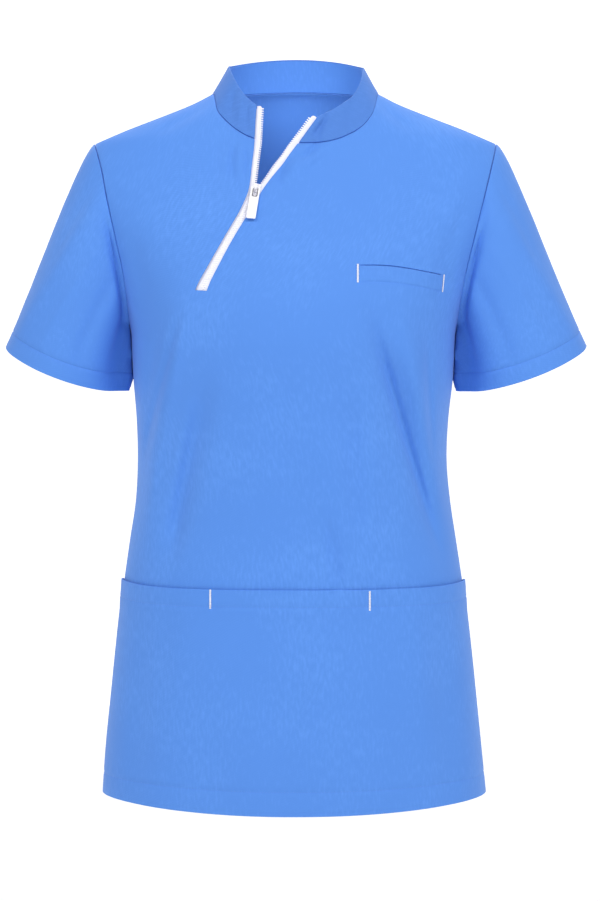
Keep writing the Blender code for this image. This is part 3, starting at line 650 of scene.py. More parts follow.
def at_run(run, values, where):
    """Values given along a line, read at other lengths along it."""
    return np.stack([np.interp(where, run, values[:, c]) for c in range(values.shape[1])], -1)


def clear_of(row, start):
    """Slides a row's first points along it, so that the first is this far from the edge."""
    run = run_along(row)
    return at_run(run, row, np.where(run < 3 * start, start + run * 2 / 3, run))


def turned_in(grid, normal, depth, half=SEAM_HALF):
    """Turns the edge at column 0 inward. depth is how far, and half how far from the
    seam line, for each row."""
    depth = np.broadcast_to(depth, grid.shape[0])[:, None]
    half = np.broadcast_to(half, grid.shape[0])[:, None]
    rest = np.stack([clear_of(row, h + ROLL - SEAM_HALF) for row, h in zip(grid, half[:, 0])])
    at_seam = grid[:, 0] + unit(rest[:, 0] - grid[:, 0]) * half
    low = at_seam - normal[:, 0] * depth
    bend = at_seam - normal[:, 0] * np.minimum(depth * 0.5, ROLL * 0.5)
    repeated = [normal[:, :1]] * 2 + [normal]
    return np.concatenate([low[:, None], bend[:, None], rest], axis=1), np.concatenate(repeated, axis=1)


def turned_at(grid, normal, where, depth, half=SEAM_HALF):
    """The same at another edge: "start", "end", "first" or "last"."""
    swap = where in ("first", "last")
    back_to_front = where in ("end", "last")
    g, n = (grid.swapaxes(0, 1), normal.swapaxes(0, 1)) if swap else (grid, normal)
    if back_to_front:
        g, n = g[:, ::-1], n[:, ::-1]
    g, n = turned_in(g, n, depth, half)
    if back_to_front:
        g, n = g[:, ::-1], n[:, ::-1]
    return (g.swapaxes(0, 1), n.swapaxes(0, 1)) if swap else (g, n)


def hemmed(grid, normal, rows, inside=0.0011, drop=0.0004):
    """Turns the first rows up inside, as a hem: the sheet goes round the lower edge."""
    inner = grid[:rows + 1] - normal[:rows + 1] * inside
    away = unit(grid[0] - grid[1])
    bottom = grid[0] - normal[0] * inside / 2 + away * drop
    grid = np.concatenate([inner[::-1], bottom[None], grid])
    normal = np.concatenate([normal[:rows + 1][::-1], normal[:1], normal])
    return grid, normal


def pressed(grid, normal, row, depth, pucker=0.5):
    """Presses a stitched row in, and the rows beside it less, unevenly as thread does."""
    wave = np.array([noise.noise(Vector(p) * 130) for p in grid[row]])
    grid = grid.copy()
    for step, share in ((0, 1.0), (-1, 0.3), (1, 0.3)):
        grid[row + step] -= normal[row + step] * (depth * share * (1 + pucker * wave))[:, None]
    for step in (-3, -2, 2, 3):
        grid[row + step] += normal[row + step] * (depth * 0.5 * wave)[:, None]
    return grid


def flat_places(grid, column):
    """Each point's place on the flat cloth, measured along the rows and one column."""
    steps = np.linalg.norm(np.diff(grid, axis=1), axis=-1)
    u = np.concatenate([np.zeros((len(grid), 1)), np.cumsum(steps, axis=1)], axis=1)
    u -= u[:, column:column + 1]
    up = np.linalg.norm(np.diff(grid[:, column], axis=0), axis=-1)
    v = np.concatenate([[0.0], np.cumsum(up)])
    return np.stack([u, np.broadcast_to(v[:, None], u.shape)], -1)


def area_of(grid):
    across, along = np.diff(grid, axis=1)[:-1], np.diff(grid, axis=0)[:, :-1]
    return float(np.linalg.norm(np.cross(across, along), axis=-1).sum())


def cloth(name, grid, material, wall=WALL, closed=False, column=0, left_out=lambda i, j: False):
    """A cloth piece from a grid of points, with its wall and its grain as a UV map."""
    rows, columns = grid.shape[0] - 1, grid.shape[1] - 1
    places = flat_places(grid, column)
    bm = bmesh.new()
    bmesh.ops.create_grid(bm, x_segments=columns, y_segments=rows, size=1)
    spots = {v: (round((v.co.y + 1) / 2 * rows), round((v.co.x + 1) / 2 * columns)) for v in bm.verts}
    grain = bm.loops.layers.uv.new("grain")
    gone = []
    for face in bm.faces:
        for loop in face.loops:
            loop[grain].uv = places[spots[loop.vert]]
        if left_out(min(spots[v][0] for v in face.verts), min(spots[v][1] for v in face.verts)):
            gone.append(face)
    for vertex, spot in spots.items():
        vertex.co = grid[spot]
    bmesh.ops.delete(bm, geom=gone, context="FACES")
    if closed:
        bmesh.ops.remove_doubles(bm, verts=bm.verts, dist=1e-6)
    thing = from_bmesh(name, bm, material, 180)
    thick = thing.modifiers.new("wall", "SOLIDIFY")
    thick.thickness = wall
    thick.offset = 0.0
    # the modifier is taken into the mesh, and its narrow rims are kept crisp
    thing.data = bpy.data.meshes.new_from_object(thing.evaluated_get(bpy.context.evaluated_depsgraph_get()))
    thing.modifiers.clear()
    thing.data.set_sharp_from_angle(angle=math.radians(50))
    return thing


def settled(thing, body="garment", node=None):
    """Attaches a piece to the body it rides on, and hides the solid that it stands for."""
    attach(thing, body)
    if node:
        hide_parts(node)
    print(thing.name, len(thing.data.polygons), "faces")
    return thing


# %% [markdown]
# ## Cloth material
# The cloth is a poly-viscose plain twill of about 190 g per square metre. Its threads lie
# 0.35 mm apart, far finer than a pixel, so the twill's ribs are drawn 2.2 mm apart, low
# enough to read as a matt surface. The fibres stand up a little, which gives a soft sheen
# where the surface turns away from the eye. Slow changes of tone keep it from looking
# like plastic.

# %% Woven cloth
RIB = 0.0022                # drawn six times as coarse as it is, to show at all
RIB_HEIGHT = 0.00006
RIB_TURN = math.radians(63)
SLUBS = (420.0, 110.0, 1.0)         # thick places in the threads: waves a metre across and along


def woven(name, colour, pale, deep):
    material, tree, shader = new_material(name, colour, 0.74, Sheen_Weight=0.15, Sheen_Roughness=0.45,
                                          Specular_IOR_Level=0.22)
    shader.inputs["Sheen Tint"].default_value = linear("#DCE8FF")
    grain = add(tree, "ShaderNodeUVMap", uv_map="grain").outputs[0]
    lift = add(tree, "ShaderNodeMapping", [("Vector", grain), ("Rotation", (0, 0, RIB_TURN))])
    ribs = add(tree, "ShaderNodeTexWave", [("Vector", lift.outputs[0]), ("Scale", math.pi / (10 * RIB)),
                                           ("Distortion", 0.6), ("Detail", 1.0), ("Detail Scale", 4.0)],
               wave_type="BANDS", bands_direction="X")
    threads = add(tree, "ShaderNodeTexNoise", [("Vector", grain), ("Scale", 900.0), ("Detail", 2.0)])
    slubs = add(tree, "ShaderNodeMapping", [("Vector", grain), ("Scale", SLUBS)])
    slub = add(tree, "ShaderNodeTexNoise", [("Vector", slubs.outputs[0]), ("Scale", 1.0), ("Detail", 2.0)])
    height = add(tree, "ShaderNodeMath", [(0, ribs.outputs["Fac"]), (1, threads.outputs["Fac"])],
                 operation="ADD")
    height = add(tree, "ShaderNodeMath", [(0, slub.outputs["Fac"]), (1, 0.12), (2, height.outputs[0])],
                 operation="MULTIPLY_ADD")
    bump = add(tree, "ShaderNodeBump", [("Height", height.outputs[0]), ("Strength", 0.5),
                                        ("Distance", RIB_HEIGHT)])
    tree.links.new(bump.outputs[0], shader.inputs["Normal"])
    place = add(tree, "ShaderNodeTexCoord").outputs["Object"]
    cloud = add(tree, "ShaderNodeTexNoise", [("Vector", place), ("Scale", 9.0), ("Detail", 3.0)])
    mixed = add(tree, "ShaderNodeMath", [(0, cloud.outputs["Fac"]), (1, slub.outputs["Fac"]), (2, 0.1)],
                operation="MULTIPLY_ADD")
    fleck = add(tree, "ShaderNodeMath", [(0, slub.outputs["Fac"]), (1, 0.05)], operation="MULTIPLY")
    tone = add(tree, "ShaderNodeMath", [(0, mixed.outputs[0]), (1, fleck.outputs[0])], operation="ADD")
    ramp = add(tree, "ShaderNodeValToRGB", [("Fac", tone.outputs[0])])
    for stop, position, code in zip(ramp.color_ramp.elements, (0.35, 0.75), (deep, pale)):
        stop.position, stop.color = position, linear(code)
    tree.links.new(ramp.outputs["Color"], shader.inputs["Base Color"])
    return material


blue = woven("poly_viscose_twill_blue", "#5A90E3", "#6097E9", "#5389DC")
inner_blue = woven("poly_viscose_twill_inside", "#568CDF", "#5B92E5", "#5086D9")
# the collar's cloth is the body's cloth drawn about a fifth darker: painted shade for the shade on the collar
collar_blue_painted_shade = woven("poly_viscose_twill_painted_shade", "#5282D2", "#5687D7", "#4C7CCB")
print("cloth materials", blue.name, inner_blue.name)

# %% [markdown]
# ## Stitches
# A lockstitch shows as a row of short grains of thread, sunk in the cloth. Here they are
# 2.3 mm long with one every 3 mm. A bartack is the same thread laid closely across, in
# white, and holds the end of a pocket's mouth. Each grain is a small sphere stretched
# long, because a thousand of them are needed.

# %% Stitch helpers
GRAIN = (0.0023, 0.0005, 0.0004)       # long, wide and high
STITCH_PITCH = 0.0030
BARTACK = (0.0024, 0.0005, 0.0005)
BARTACK_PITCH = 0.00046


def grains(name, line, normal, material, size=GRAIN, pitch=STITCH_PITCH, across=False, lift=WALL / 2):
    """Grains of thread along a line on the cloth's middle, or laid across it."""
    run = run_along(line)
    bm = bmesh.new()
    for at in np.arange(pitch / 2, run[-1] - pitch / 3, pitch):
        spot, before, after = (at_run(run, line, at + step) for step in (0, -pitch / 4, pitch / 4))
        out, way = unit(at_run(run, normal, at)), unit(after - before)
        way = unit(way + 0.08 * noise.noise(Vector(spot) * 900) * np.cross(out, way))
        side = unit(np.cross(out, way))
        out = np.cross(way, side)
        turn = (side, -way, out) if across else (way, side, out)
        matrix = Matrix.Translation(spot + out * lift) @ Matrix(turn).transposed().to_4x4()
        bmesh.ops.create_icosphere(bm, subdivisions=1, radius=0.5, matrix=matrix @ Matrix.Diagonal((*size, 1)))
    return settled(from_bmesh(name, bm, material))


# the blue thread is drawn darker than the cloth: partly its own tone-on-tone colour, partly painted shade of
# the stitched groove
blue_thread_painted_groove_shade, white_thread = (
    fine_grained("spun_polyester_thread_" + name, colour, 0.55, 0.0004, 0.4, 0.00004, Sheen_Weight=0.2)
    for name, colour in (("blue", "#4F82D6"), ("white", "#F0F0F6")))
print("threads", blue_thread_painted_groove_shade.name, white_thread.name)

# %% [markdown]
# ## Back and front
# The body is cut in two pieces, a back and a front, sewn at the sides and shoulders. The
# front is slashed for the zip. Both hems are turned up 22 mm inside and stitched once.
# They could be draped by a cloth simulation, but a shop picture shows one known form, so
# the folds are put where they are and the sheet is built straight on that form.

# %% Hem and seam rows
EXTRA = STITCH_ROW + 2               # rows that a hem adds below
POCKET_SEAM = 0.0015                 # the front's edge leaves room for the pocket's
GROOVE = 0.00065                     # how deep a stitched row is pressed in
HEM_TURN = 0.0006                    # of a side's turning at the hem, which has no room for more
SLIT_INSET, SLIT_HALF = 0.002, 0.0048        # of the opening behind the chest welt
WELT = metres(((60, -179), (70, -178.6), (80, -178.5), (90.5, -178.9), (101, -179.9),
               (111.5, -181.2), (122, -182.7), (132.5, -184.2), (142.5, -185.6)))     # top line


def sewn_panel(grid, outside, halves=SEAM_HALF):
    """Turns a panel's edges: top, hem and sides."""
    normal = outward_of(grid, outside)
    grid = pressed(grid, normal, STITCH_ROW, GROOVE)
    grid, normal = turned_at(grid, normal, "last", ALLOWANCE)
    grid, normal = hemmed(grid, normal, STITCH_ROW)
    depths = np.full(len(grid), ALLOWANCE)
    depths[:EXTRA + STITCH_ROW] = HEM_TURN
    half = np.full(len(grid), SEAM_HALF)
    half[:EXTRA + MOUTH_ROW] = halves
    for where in ("start", "end"):
        grid, normal = turned_at(grid, normal, where, depths, half)
    return grid


# %% Back
back_cloth = sewn_panel(back, backwards)
back_piece = settled(cloth("back_panel", back_cloth, blue, column=back_cloth.shape[1] // 2),
                     node="back")
print("back", round(area_of(back_cloth), 3), "m2")
grains("stitches_back_hem", back[STITCH_ROW], outward_of(back, backwards)[STITCH_ROW], blue_thread_painted_groove_shade)

# %% Front
for j, sign in ((opening, -1), (opening + GAP_SPANS, 1)):
    for step, press in ((0, 0.0008), (sign, 0.0002)):     # the slit's edges, onto the tapes
        front[ZIP_END_ROW + 2:, j + step, 1] += press
front_cloth = sewn_panel(front, forwards, POCKET_SEAM)


def left_open(i, j):
    """Faces that the zip's slit takes away, and those behind the chest pocket's slit."""
    if i >= ZIP_END_ROW + EXTRA and opening + 2 <= j < opening + 2 + GAP_SPANS:
        return True
    x, y, z = front_cloth[i:i + 2, j:j + 2].reshape(4, 3).T
    above = z - np.interp(x, *zip(*WELT))
    beside = x.min() > WELT[0][0] + SLIT_INSET and x.max() < WELT[-1][0] - SLIT_INSET
    return y.max() < 0 and beside and abs(above).max() < SLIT_HALF


front_piece = settled(cloth("front_panel", front_cloth, blue, column=opening + 2, left_out=left_open),
                      node="front")
print("front", round(area_of(front_cloth), 3), "m2")

# %% [markdown]
# ## Lower pocket
# A wide panel lies over the front from the hem to the hips and is caught in the side
# seams and the hem. Its upper edge is the pockets' mouth: turned in 15 mm, stitched, and
# bowed up a little at the sides. It is made from the front's own rows, moved outward, so
# the folds pass through both layers.

# %% Pocket panel
LAY = 0.00155            # from the front's middle to the panel's
MOUTH_LIFT = 0.0010      # above that, of the turned-in band
LIFT_RUN = 0.012         # below the band, over which it lifts
GAPE, GAPE_RUN = 0.0009, 0.006       # and of the mouth's edge
GAPE_WAVE = (0.6, 0.8, 16)           # share at least, how much more, waves a metre
MOUTH_BOW = ((0.0050, 8), (0.0013, 2))       # rise towards the sides, and its power
MOUTH_HALF = 0.1715      # half width of the mouth
BOW_BELOW, BOW_RUN = 0.045, 0.040    # how far under the mouth the bow begins
POCKET_DROP = 0.0009     # how much lower than the front its hem hangs
CREST = 0.0004           # of the mouth's fold, above the last row
POCKET_HEM = 0.0022      # room in its hem, for the front's
BAND_DEPTH = 0.0010      # from the band's outside to its inside
POCKET_TURN = {"side": 0.0032, "hem": 0.0004, "band": 0.0012}     # depth of its side edges' turning
POCKET_HALF = 0.0004


def mouth_rise(x, z):
    """How much higher the mouth runs towards the sides, and the rows just below it."""
    t = np.clip(abs(x) / MOUTH_HALF, 0, 1)
    return sum(rise * t ** power for rise, power in MOUTH_BOW) * smooth((z - MOUTH_LEVEL + BOW_BELOW) / BOW_RUN)


def pocket_points():
    flat = [[raised(x, z, float(mouth_rise(x, z))) for x, z in row] for row in front_flat[:MOUTH_ROW + 1]]
    grid = on_body(np.array(flat), "front", FRONT_FOLDS, FRONT_SHIFT)
    normal = outward_of(grid, forwards)
    level = np.array(LEVELS[:MOUTH_ROW + 1])
    lift = MOUTH_LIFT * smooth((level - BAND_LEVEL + LIFT_RUN) / LIFT_RUN)
    gape = GAPE * np.exp(-((MOUTH_LEVEL - level) / GAPE_RUN) ** 2)
    least, more, waves = GAPE_WAVE
    slack = np.array([least + more * noise.noise(Vector((p[0] * waves, 0.5, 2.2))) for p in grid[-1]])
    grid = grid + normal * (LAY + lift[:, None] + gape[:, None] * slack[None])[..., None]
    grid[0] += unit(grid[0] - grid[1]) * POCKET_DROP
    normal = outward_of(grid, forwards)
    stitched = {"hem": STITCH_ROW, "band": BAND_ROW}
    for row in stitched.values():
        grid = pressed(grid, normal, row, GROOVE)
    lines = {key: (grid[row], normal[row]) for key, row in stitched.items()}
    face = (grid, normal)
    fold = grid[BAND_ROW:][::-1] - normal[BAND_ROW:][::-1] * BAND_DEPTH
    crest = grid[-1] + unit(grid[-1] - grid[-2]) * CREST - normal[-1] * BAND_DEPTH / 2
    grid = np.concatenate([grid, crest[None], fold])
    normal = np.concatenate([normal, normal[-1:], normal[BAND_ROW:][::-1]])
    grid, normal = hemmed(grid, normal, STITCH_ROW, inside=LAY + POCKET_HEM)
    depths = np.full(len(grid), POCKET_TURN["side"])
    depths[:EXTRA] = POCKET_TURN["hem"]
    depths[EXTRA + MOUTH_ROW + 1:] = POCKET_TURN["band"]
    for where in ("start", "end"):
        grid, normal = turned_at(grid, normal, where, depths, POCKET_HALF)
    return grid, lines, face


pocket_cloth, pocket_lines, pocket_face = pocket_points()
pocket_piece = settled(cloth("pocket_front", pocket_cloth, blue, column=opening + 2),
                       node="pocket_panel")
print("pocket", round(area_of(pocket_cloth), 4), "m2")
for key, (line, normal) in pocket_lines.items():
    grains("stitches_pocket_" + key, line, normal, blue_thread_painted_groove_shade)


def bartack(name, face, top, bottom, lift):
    """White thread laid across the line from top to bottom (x, z), on a surface's points."""
    grid, normal = face
    line, ways = [], []
    for t in np.linspace(0, 1, 24):
        x, z = np.array(top) * (1 - t) + np.array(bottom) * t
        spot = np.unravel_index(np.argmin((grid[..., 0] - x) ** 2 + (grid[..., 2] - z) ** 2), grid.shape[:2])
        near, n = grid[spot], normal[spot]
        line.append((x, near[1] - (n[0] * (x - near[0]) + n[2] * (z - near[2])) / n[1], z))
        ways.append(n)
    return grains(name, np.array(line), np.array(ways), white_thread, BARTACK, BARTACK_PITCH, True, lift)


TACK_LIFT = {"pocket": 0.0006, "chest": 0.0009}      # off the middle of the cloth
POCKET_TACKS = (("right", (-0.0814, -0.4893), (-0.0814, -0.5080)),
                ("left", (0.0712, -0.4905), (0.0712, -0.5098)))
for side, upper, lower in POCKET_TACKS:
    bartack("bartack_pocket_" + side, pocket_face, upper, lower, TACK_LIFT["pocket"])

# %% [markdown]
# ## Chest pocket
# The chest pocket is only a slit with a narrow welt. The welt is a folded strip, sewn
# into the front along its lower edge, so it lies flush and shows a dark line only along
# its top, where the pocket opens.

# %% Chest welt
# from the welt's top line up, and out from the front: the lip above the slit, the slit, the welt's fold
WELT_TOP = metres(((5.6, 0.12), (4, 0.25), (2.2, 0.6), (1.1, 1), (0.6, 0.9),
                   (0.45, 0.2), (0.4, -2), (0, -2.6), (-0.4, -2), (-0.5, 0.3),
                   (-0.8, 1), (-1.4, 1.3), (-2.6, 1.3), (-5, 1.1), (-8, 0.9),
                   (-11, 0.9), (-14, 0.9), (-15.2, 0.8), (-15.8, 0.1), (-16.8, 0.05)))
WELT_WALL = 0.0006
WELT_END, WELT_LOW = 0.0022, 0.0001      # over which the welt sinks at its ends, and to what


def welt_points():
    top_line = on_a_curve([(k, *spot) for k, spot in enumerate(WELT)], 6)
    x = np.array([t[1] for t in top_line])
    z = np.array([t[2] for t in top_line])
    up, out = (np.array(part)[:, None] for part in zip(*WELT_TOP))
    flat = np.stack([np.broadcast_to(x, (len(up), len(x))), z[None] + up], -1)
    grid = on_body(flat, "front", FRONT_FOLDS, FRONT_SHIFT)
    normal = outward_of(grid, forwards)
    edge = smooth(np.minimum(x - x[0], x[-1] - x) / WELT_END)
    return grid + normal * (out * edge[None] + WELT_LOW * (1 - edge[None]))[..., None]


welt_cloth = welt_points()
welt_piece = settled(cloth("chest_welt_fold", welt_cloth, blue, wall=WELT_WALL),
                     node="chest_welt")
print("welt", round(area_of(welt_cloth), 5), "m2")
front_face = (front, outward_of(front, forwards))
CHEST_TACKS = (("inner", (0.0598, -0.1776), (0.0596, -0.1955)),
               ("outer", (0.1440, -0.1850), (0.1423, -0.2020)))
for side, upper, lower in CHEST_TACKS:
    bartack("bartack_chest_" + side, front_face, upper, lower, TACK_LIFT["chest"])

# %% [markdown]
# ## Sleeves
# Each short sleeve is one piece, sewn into a tube at the underarm and set into the
# armhole. Its cap springs out from the shoulder and falls; its hem is turned up 17 mm.
# Every line of the tube is a smooth curve from a point of the armhole to a point of the
# hem, so the sleeve hangs from the seam as cloth does.

# %% Sleeve sizes
SLEEVES = {
    "sleeve_right": (-1, -0.2897, -0.2525, -0.1690, -0.2945),
    "sleeve_left": (1, 0.2907, -0.2515, 0.1632, -0.2950),
}
SLEEVE_HALF = {"front": 0.058, "back": 0.060}
SLEEVE_DROP = {"front": -0.013, "back": 0.010}    # tilt of the hem, front to back
HEM_FLATNESS = 1.3
SLEEVE_GAP, UNDERARM_GAP = 0.0004, 0.0006     # from the body's edge, all round and more below
GAP_FROM, GAP_RUN = 0.97, 0.45                # share of the way up at which the second gap begins
SLEEVE_HEAD = (0.18, -0.145)     # the middle of the armhole, x and z
# how a line of the tube sets out from the armhole, and how it comes to the hem
CAP_PULL = (0.055, 0, -0.050)
UNDERARM_PULL = (0.006, 0, -0.045)
SIDE_PULL = (0.336, 0.128, -0.720)
HEM_SPREAD = (0.02, 0.42, -0.93)
SLEEVE_HEM = (0.0178, 0.0166, 0.0154, 0.0125, 0.0085, 0.0042, 0.0)    # from the edge; stitched at the second
SLEEVE_LINES = 36
# degrees round from the underarm (front is 0 to 180), share of the length at both ends
SLEEVE_FOLDS = (
    (112, 0.10, 150, 0.95, 13, 0.0030),
    (36, 0.10, 30, 1.00, 11, -0.0045),
    (62, 0.10, 64, 0.95, 12, 0.0020),
    (228, 0.15, 208, 0.95, 15, 0.0030),
    (324, 0.10, 328, 1.00, 12, -0.0045),
    # finer ones that the solids leave out
    (96, 0.20, 118, 0.85, 5, 0.0010),
    (72, 0.15, 80, 0.80, 6, -0.0014),
    (132, 0.05, 140, 0.60, 6, -0.0010),
    (40, 0.15, 44, 0.85, 5, -0.0012),
    (160, 0.00, 168, 0.50, 6, 0.0008),
    (250, 0.10, 236, 0.80, 6, -0.0012),
    (276, 0.20, 270, 0.90, 6, 0.0010),
)
SEAM_VALLEY = (0.0085, 0.0072, -0.0064)     # beside the armhole seam: how far, half width, depth
VALLEY_TURNS = (16, 56, 112, 34)            # degrees: where it begins, over how many, and where it ends
SETTLED = 0.05             # share of a line's length over which all this starts
TOWARDS_BODY = 0.0090      # how far the inner side leans in, to rest on the body
RESTING = 0.0014           # from the body's middle to the sleeve's
LEAN_ABOVE, LEAN_RUN = 0.014, 0.018         # where the leaning starts, over the underarm
LEAN_PLACE, LEAN_HALF, LEAN_END = 16, 17, 60          # degrees from the underarm
HEM_EASE = 0.35            # how much less it leans at the hem
RUMPLE = 0.0009            # slow unevenness of the sleeves
RUMPLES = ((14, 1.0), (60, 0.2))            # waves a metre, share


# %% Making the sleeves
def armhole_ring(side):
    """Points round an armhole from the underarm over the front, with the body's
    outward normal and the way into the panel at each."""
    column = 0 if side < 0 else -1
    start = len(LEVELS) - 1
    ring, normals = [], []
    for grid, outside, order in ((front, forwards, 1), (back, backwards, -1)):
        normal = outward_of(grid, outside)[start:, column]
        ring.append(grid[start:, column][::order])
        normals.append(normal[::order])
    ring = np.concatenate([ring[0], ring[1][1:]])
    normals = np.concatenate([normals[0], normals[1][1:]])
    along = unit(np.gradient(ring, axis=0))
    into = np.cross(normals, along)
    into *= np.sign(-into[0, 2])
    return ring, normals, unit(into)


def rested(line, lean, side):
    """Leans the sleeve in under the arm, until it lies on the body's side."""
    line = line.copy()
    for k, (x, y, z) in enumerate(line):
        depth = min(abs(y) / section("back" if y > 0 else "front", z), 1)
        body = abs(side_x(side, z)) * (1 - depth ** ROUND) ** (1 / ROUND) + RESTING
        share = float(smooth((UNDERARM_LEVEL + LEAN_ABOVE - z) / LEAN_RUN))
        line[k, 0] = side * min(abs(x), max(abs(x) - lean[k] * share, body))
    x = line[:SLEEVE_LINES + 1, 0]
    for _ in range(4):
        x[1:-1] = (x[:-2] + x[1:-1] * 2 + x[2:]) / 4
    return line


def sleeve_points(side, outer_x, outer_z, inner_x, inner_z):
    turns = np.array(TURNS + [360 - t for t in TURNS[-2::-1]])
    outer, inner = np.array((outer_x, 0, outer_z)), np.array((inner_x, 0, inner_z))
    middle, reach = (outer + inner) / 2, (outer - inner) / 2
    head = np.array((side * SLEEVE_HEAD[0], 0, SLEEVE_HEAD[1]))
    axis = middle - head
    ring, ring_normal, into = armhole_ring(side)
    columns = []
    for k, turn in enumerate(turns):
        part, facing = ("front", -1) if turn <= 180 else ("back", 1)
        round_share = abs(math.sin(math.radians(turn)))
        up = (1 - math.cos(math.radians(turn))) / 2
        lift = float(smooth((GAP_FROM - up) / GAP_RUN))
        gap = (side * (SLEEVE_GAP + UNDERARM_GAP * lift), facing * SLEEVE_GAP * round_share, 0)
        start = ring[k] + np.array(gap)
        end = (middle - reach * math.cos(math.radians(turn))
               + np.array((0, facing * SLEEVE_HALF[part], SLEEVE_DROP[part])) * round_share ** HEM_FLATNESS)
        chord = float(np.linalg.norm(end - start))
        across = np.array((side, facing, 1))
        edge_pull = (np.array(UNDERARM_PULL) * (1 - up) + np.array(CAP_PULL) * up) * across
        pull0 = edge_pull * (1 - round_share) + np.array(SIDE_PULL) * across * chord * round_share
        spread, more, down = HEM_SPREAD
        pull1 = unit(np.array((side * (spread + more * up ** 1.2), 0, down))) * chord
        top = 1 - SLEEVE_HEM[0] / chord
        shares = [top * s / SLEEVE_LINES for s in range(SLEEVE_LINES)] + [1 - d / chord for d in SLEEVE_HEM]
        t = np.array(shares)[:, None]
        line = on_hermite(t, start, pull0, end, pull1)
        outward = line - head - axis * t
        outward -= axis * ((outward @ axis) / (axis @ axis))[:, None]
        height = np.zeros(len(t))
        for turn0, run0, turn1, run1, half, out in SLEEVE_FOLDS:
            along = (t[:, 0] - run0) / (run1 - run0)
            aside = turn - (turn0 + (turn1 - turn0) * along)
            height += out * over_length(along) * np.exp(-(aside / half) ** 2)
        from_underarm = min(turn, 360 - turn)
        away, half, depth = SEAM_VALLEY
        begins, over, ends, out_over = VALLEY_TURNS
        height += (depth * np.exp(-((t[:, 0] * chord - away) / half) ** 2)
                   * smooth((from_underarm - begins) / over) * smooth((ends - from_underarm) / out_over))
        height += RUMPLE * np.array([sum(share * noise.noise(Vector(p * waves)) for waves, share in RUMPLES)
                                     for p in line])
        line = line + unit(outward) * (height * smooth(t[:, 0] / SETTLED))[:, None]
        lean = (TOWARDS_BODY * math.exp(-((from_underarm - LEAN_PLACE) / LEAN_HALF) ** 2)
                * smooth(t[:, 0] / SETTLED) * (1 - HEM_EASE * smooth((t[:, 0] - 0.80) / 0.20)))
        columns.append(rested(line, lean, side) if from_underarm < LEAN_END else line)
    grid = np.stack(columns, axis=1)

    def outside(points):
        away = points - head - axis * 0.5
        return away - axis * ((away @ axis) / (axis @ axis))[..., None]
    normal = outward_of(grid, outside)
    grid[SLEEVE_LINES + 1] -= normal[SLEEVE_LINES + 1] * GROOVE
    grid, normal = hemmed_last(grid, normal, len(SLEEVE_HEM) - 2)
    tuck = [ring - into * SEAM_HALF - ring_normal * depth for depth in (ALLOWANCE, ROLL * 0.6)]
    return np.concatenate([np.stack(tuck), grid]), grid[SLEEVE_LINES + 1], normal[SLEEVE_LINES + 1]


def hemmed_last(grid, normal, rows):
    grid, normal = hemmed(grid[::-1], normal[::-1], rows)
    return grid[::-1], normal[::-1]


for name, sizes in SLEEVES.items():
    points, line, normal = sleeve_points(*sizes)
    piece = settled(cloth(name + "_cloth", points, blue, closed=True, column=points.shape[1] // 2),
                   node=name)
    grains("stitches_" + name, line, normal, blue_thread_painted_groove_shade)
    print(name, round(area_of(points), 4), "m2")

# %% [markdown]
# ## Collar
# The stand collar is two layers of the same cloth, sewn together along the top edge and
# turned, with the neck seam hidden between them. The zip tapes are caught between the two
# layers at the front ends.

# %% Collar
COLLAR_LINES = 12
COLLAR_FOLDS = metres((      # as the body's, seen from the front
    (34.5, -22.8, 16.8, -50.3, 0, 3.2, -1.6),
    (41, -20, 26, -44, 0, 3, 1.2),
    (35, -30.7, 18.3, -49.3, 2, 2.6, -1.2),
    (56, -12, 50, -40, 0, 4, -0.8),
    (-60.5, -2, -64, -29, 0, 2.6, -1.1),
    (-53, -8, -55.5, -37, 0, 2.4, 1),
    (-47, -14, -48, -42, 0, 2.2, -1.1),
))
LINING_DEPTH = 0.0018    # from the outer layer to the inner one
TAPE_ROOM = 0.0022       # more than that at the ends, for the tapes
ROOM_COLUMNS = (4, 6)    # from an end: all of the room, and over how many it goes
ROLLED = (0.0010, 0.0030)            # of the top edge, how far inside and down
LINING_SHORT = (0.0006, 0.0005)      # of the inner layer, at the foot and the top


def round_the_neck(points):
    return np.stack([points[..., 0], points[..., 1] + 0.008, np.full(points.shape[:-1], 0.02)], -1)


def collar_lines():
    """Base and top lines from the zip round to the zip, with the body's normal and the
    way into the body at each point of the base."""
    first = SHOULDER_SPANS * PER_SPAN
    last = front.shape[1] - 1 - first
    picks = []
    for grid, outside, columns in ((front, forwards, range(opening, first, -1)),
                                   (back, backwards, range(first, back.shape[1] - first)),
                                   (front, forwards, range(last - 1, opening + GAP_SPANS - 1, -1))):
        normal = outward_of(grid, outside)
        for j in columns:
            picks.append((grid[-1, j], normal[-1, j], unit(grid[-2, j] - grid[-1, j])))
    base, normal, into = (np.array(part) for part in zip(*picks))
    top = [row[2:] for row in FINE_LEFT[:0:-1]]
    left, right = np.array(NECK_LEFT[0][2:]), np.array(NECK_RIGHT[0][2:])
    count = BACK_NECK_SPANS * PER_SPAN
    for k in range(count + 1):
        angle = math.pi * k / count
        bulge = math.sin(angle)
        side = left + (right - left) * (1 - math.cos(angle)) / 2
        top.append((side[0], COLLAR_BACK_Y * bulge, side[2] + (COLLAR_BACK_Z - side[2]) * bulge ** 1.5))
    top += [row[2:] for row in FINE_RIGHT[1:]]
    return base, np.array(top), normal, into


base, top, base_normal, base_into = collar_lines()
shares = np.linspace(0, 1, COLLAR_LINES + 1)[:, None, None]
collar = base + (top - base) * shares
bend = fold_height(COLLAR_FOLDS, collar[..., 0], collar[..., 2]) * (collar[..., 1] < 0)
bend = bend * np.sin(math.pi * shares[..., 0]) ** 0.5
collar = collar + outward_of(collar, round_the_neck) * bend[..., None]
middle = len(top) // 2
print("collar grid", collar.shape[:2], "height at the back", round(float(top[middle, 2] - base[middle, 2]), 4))


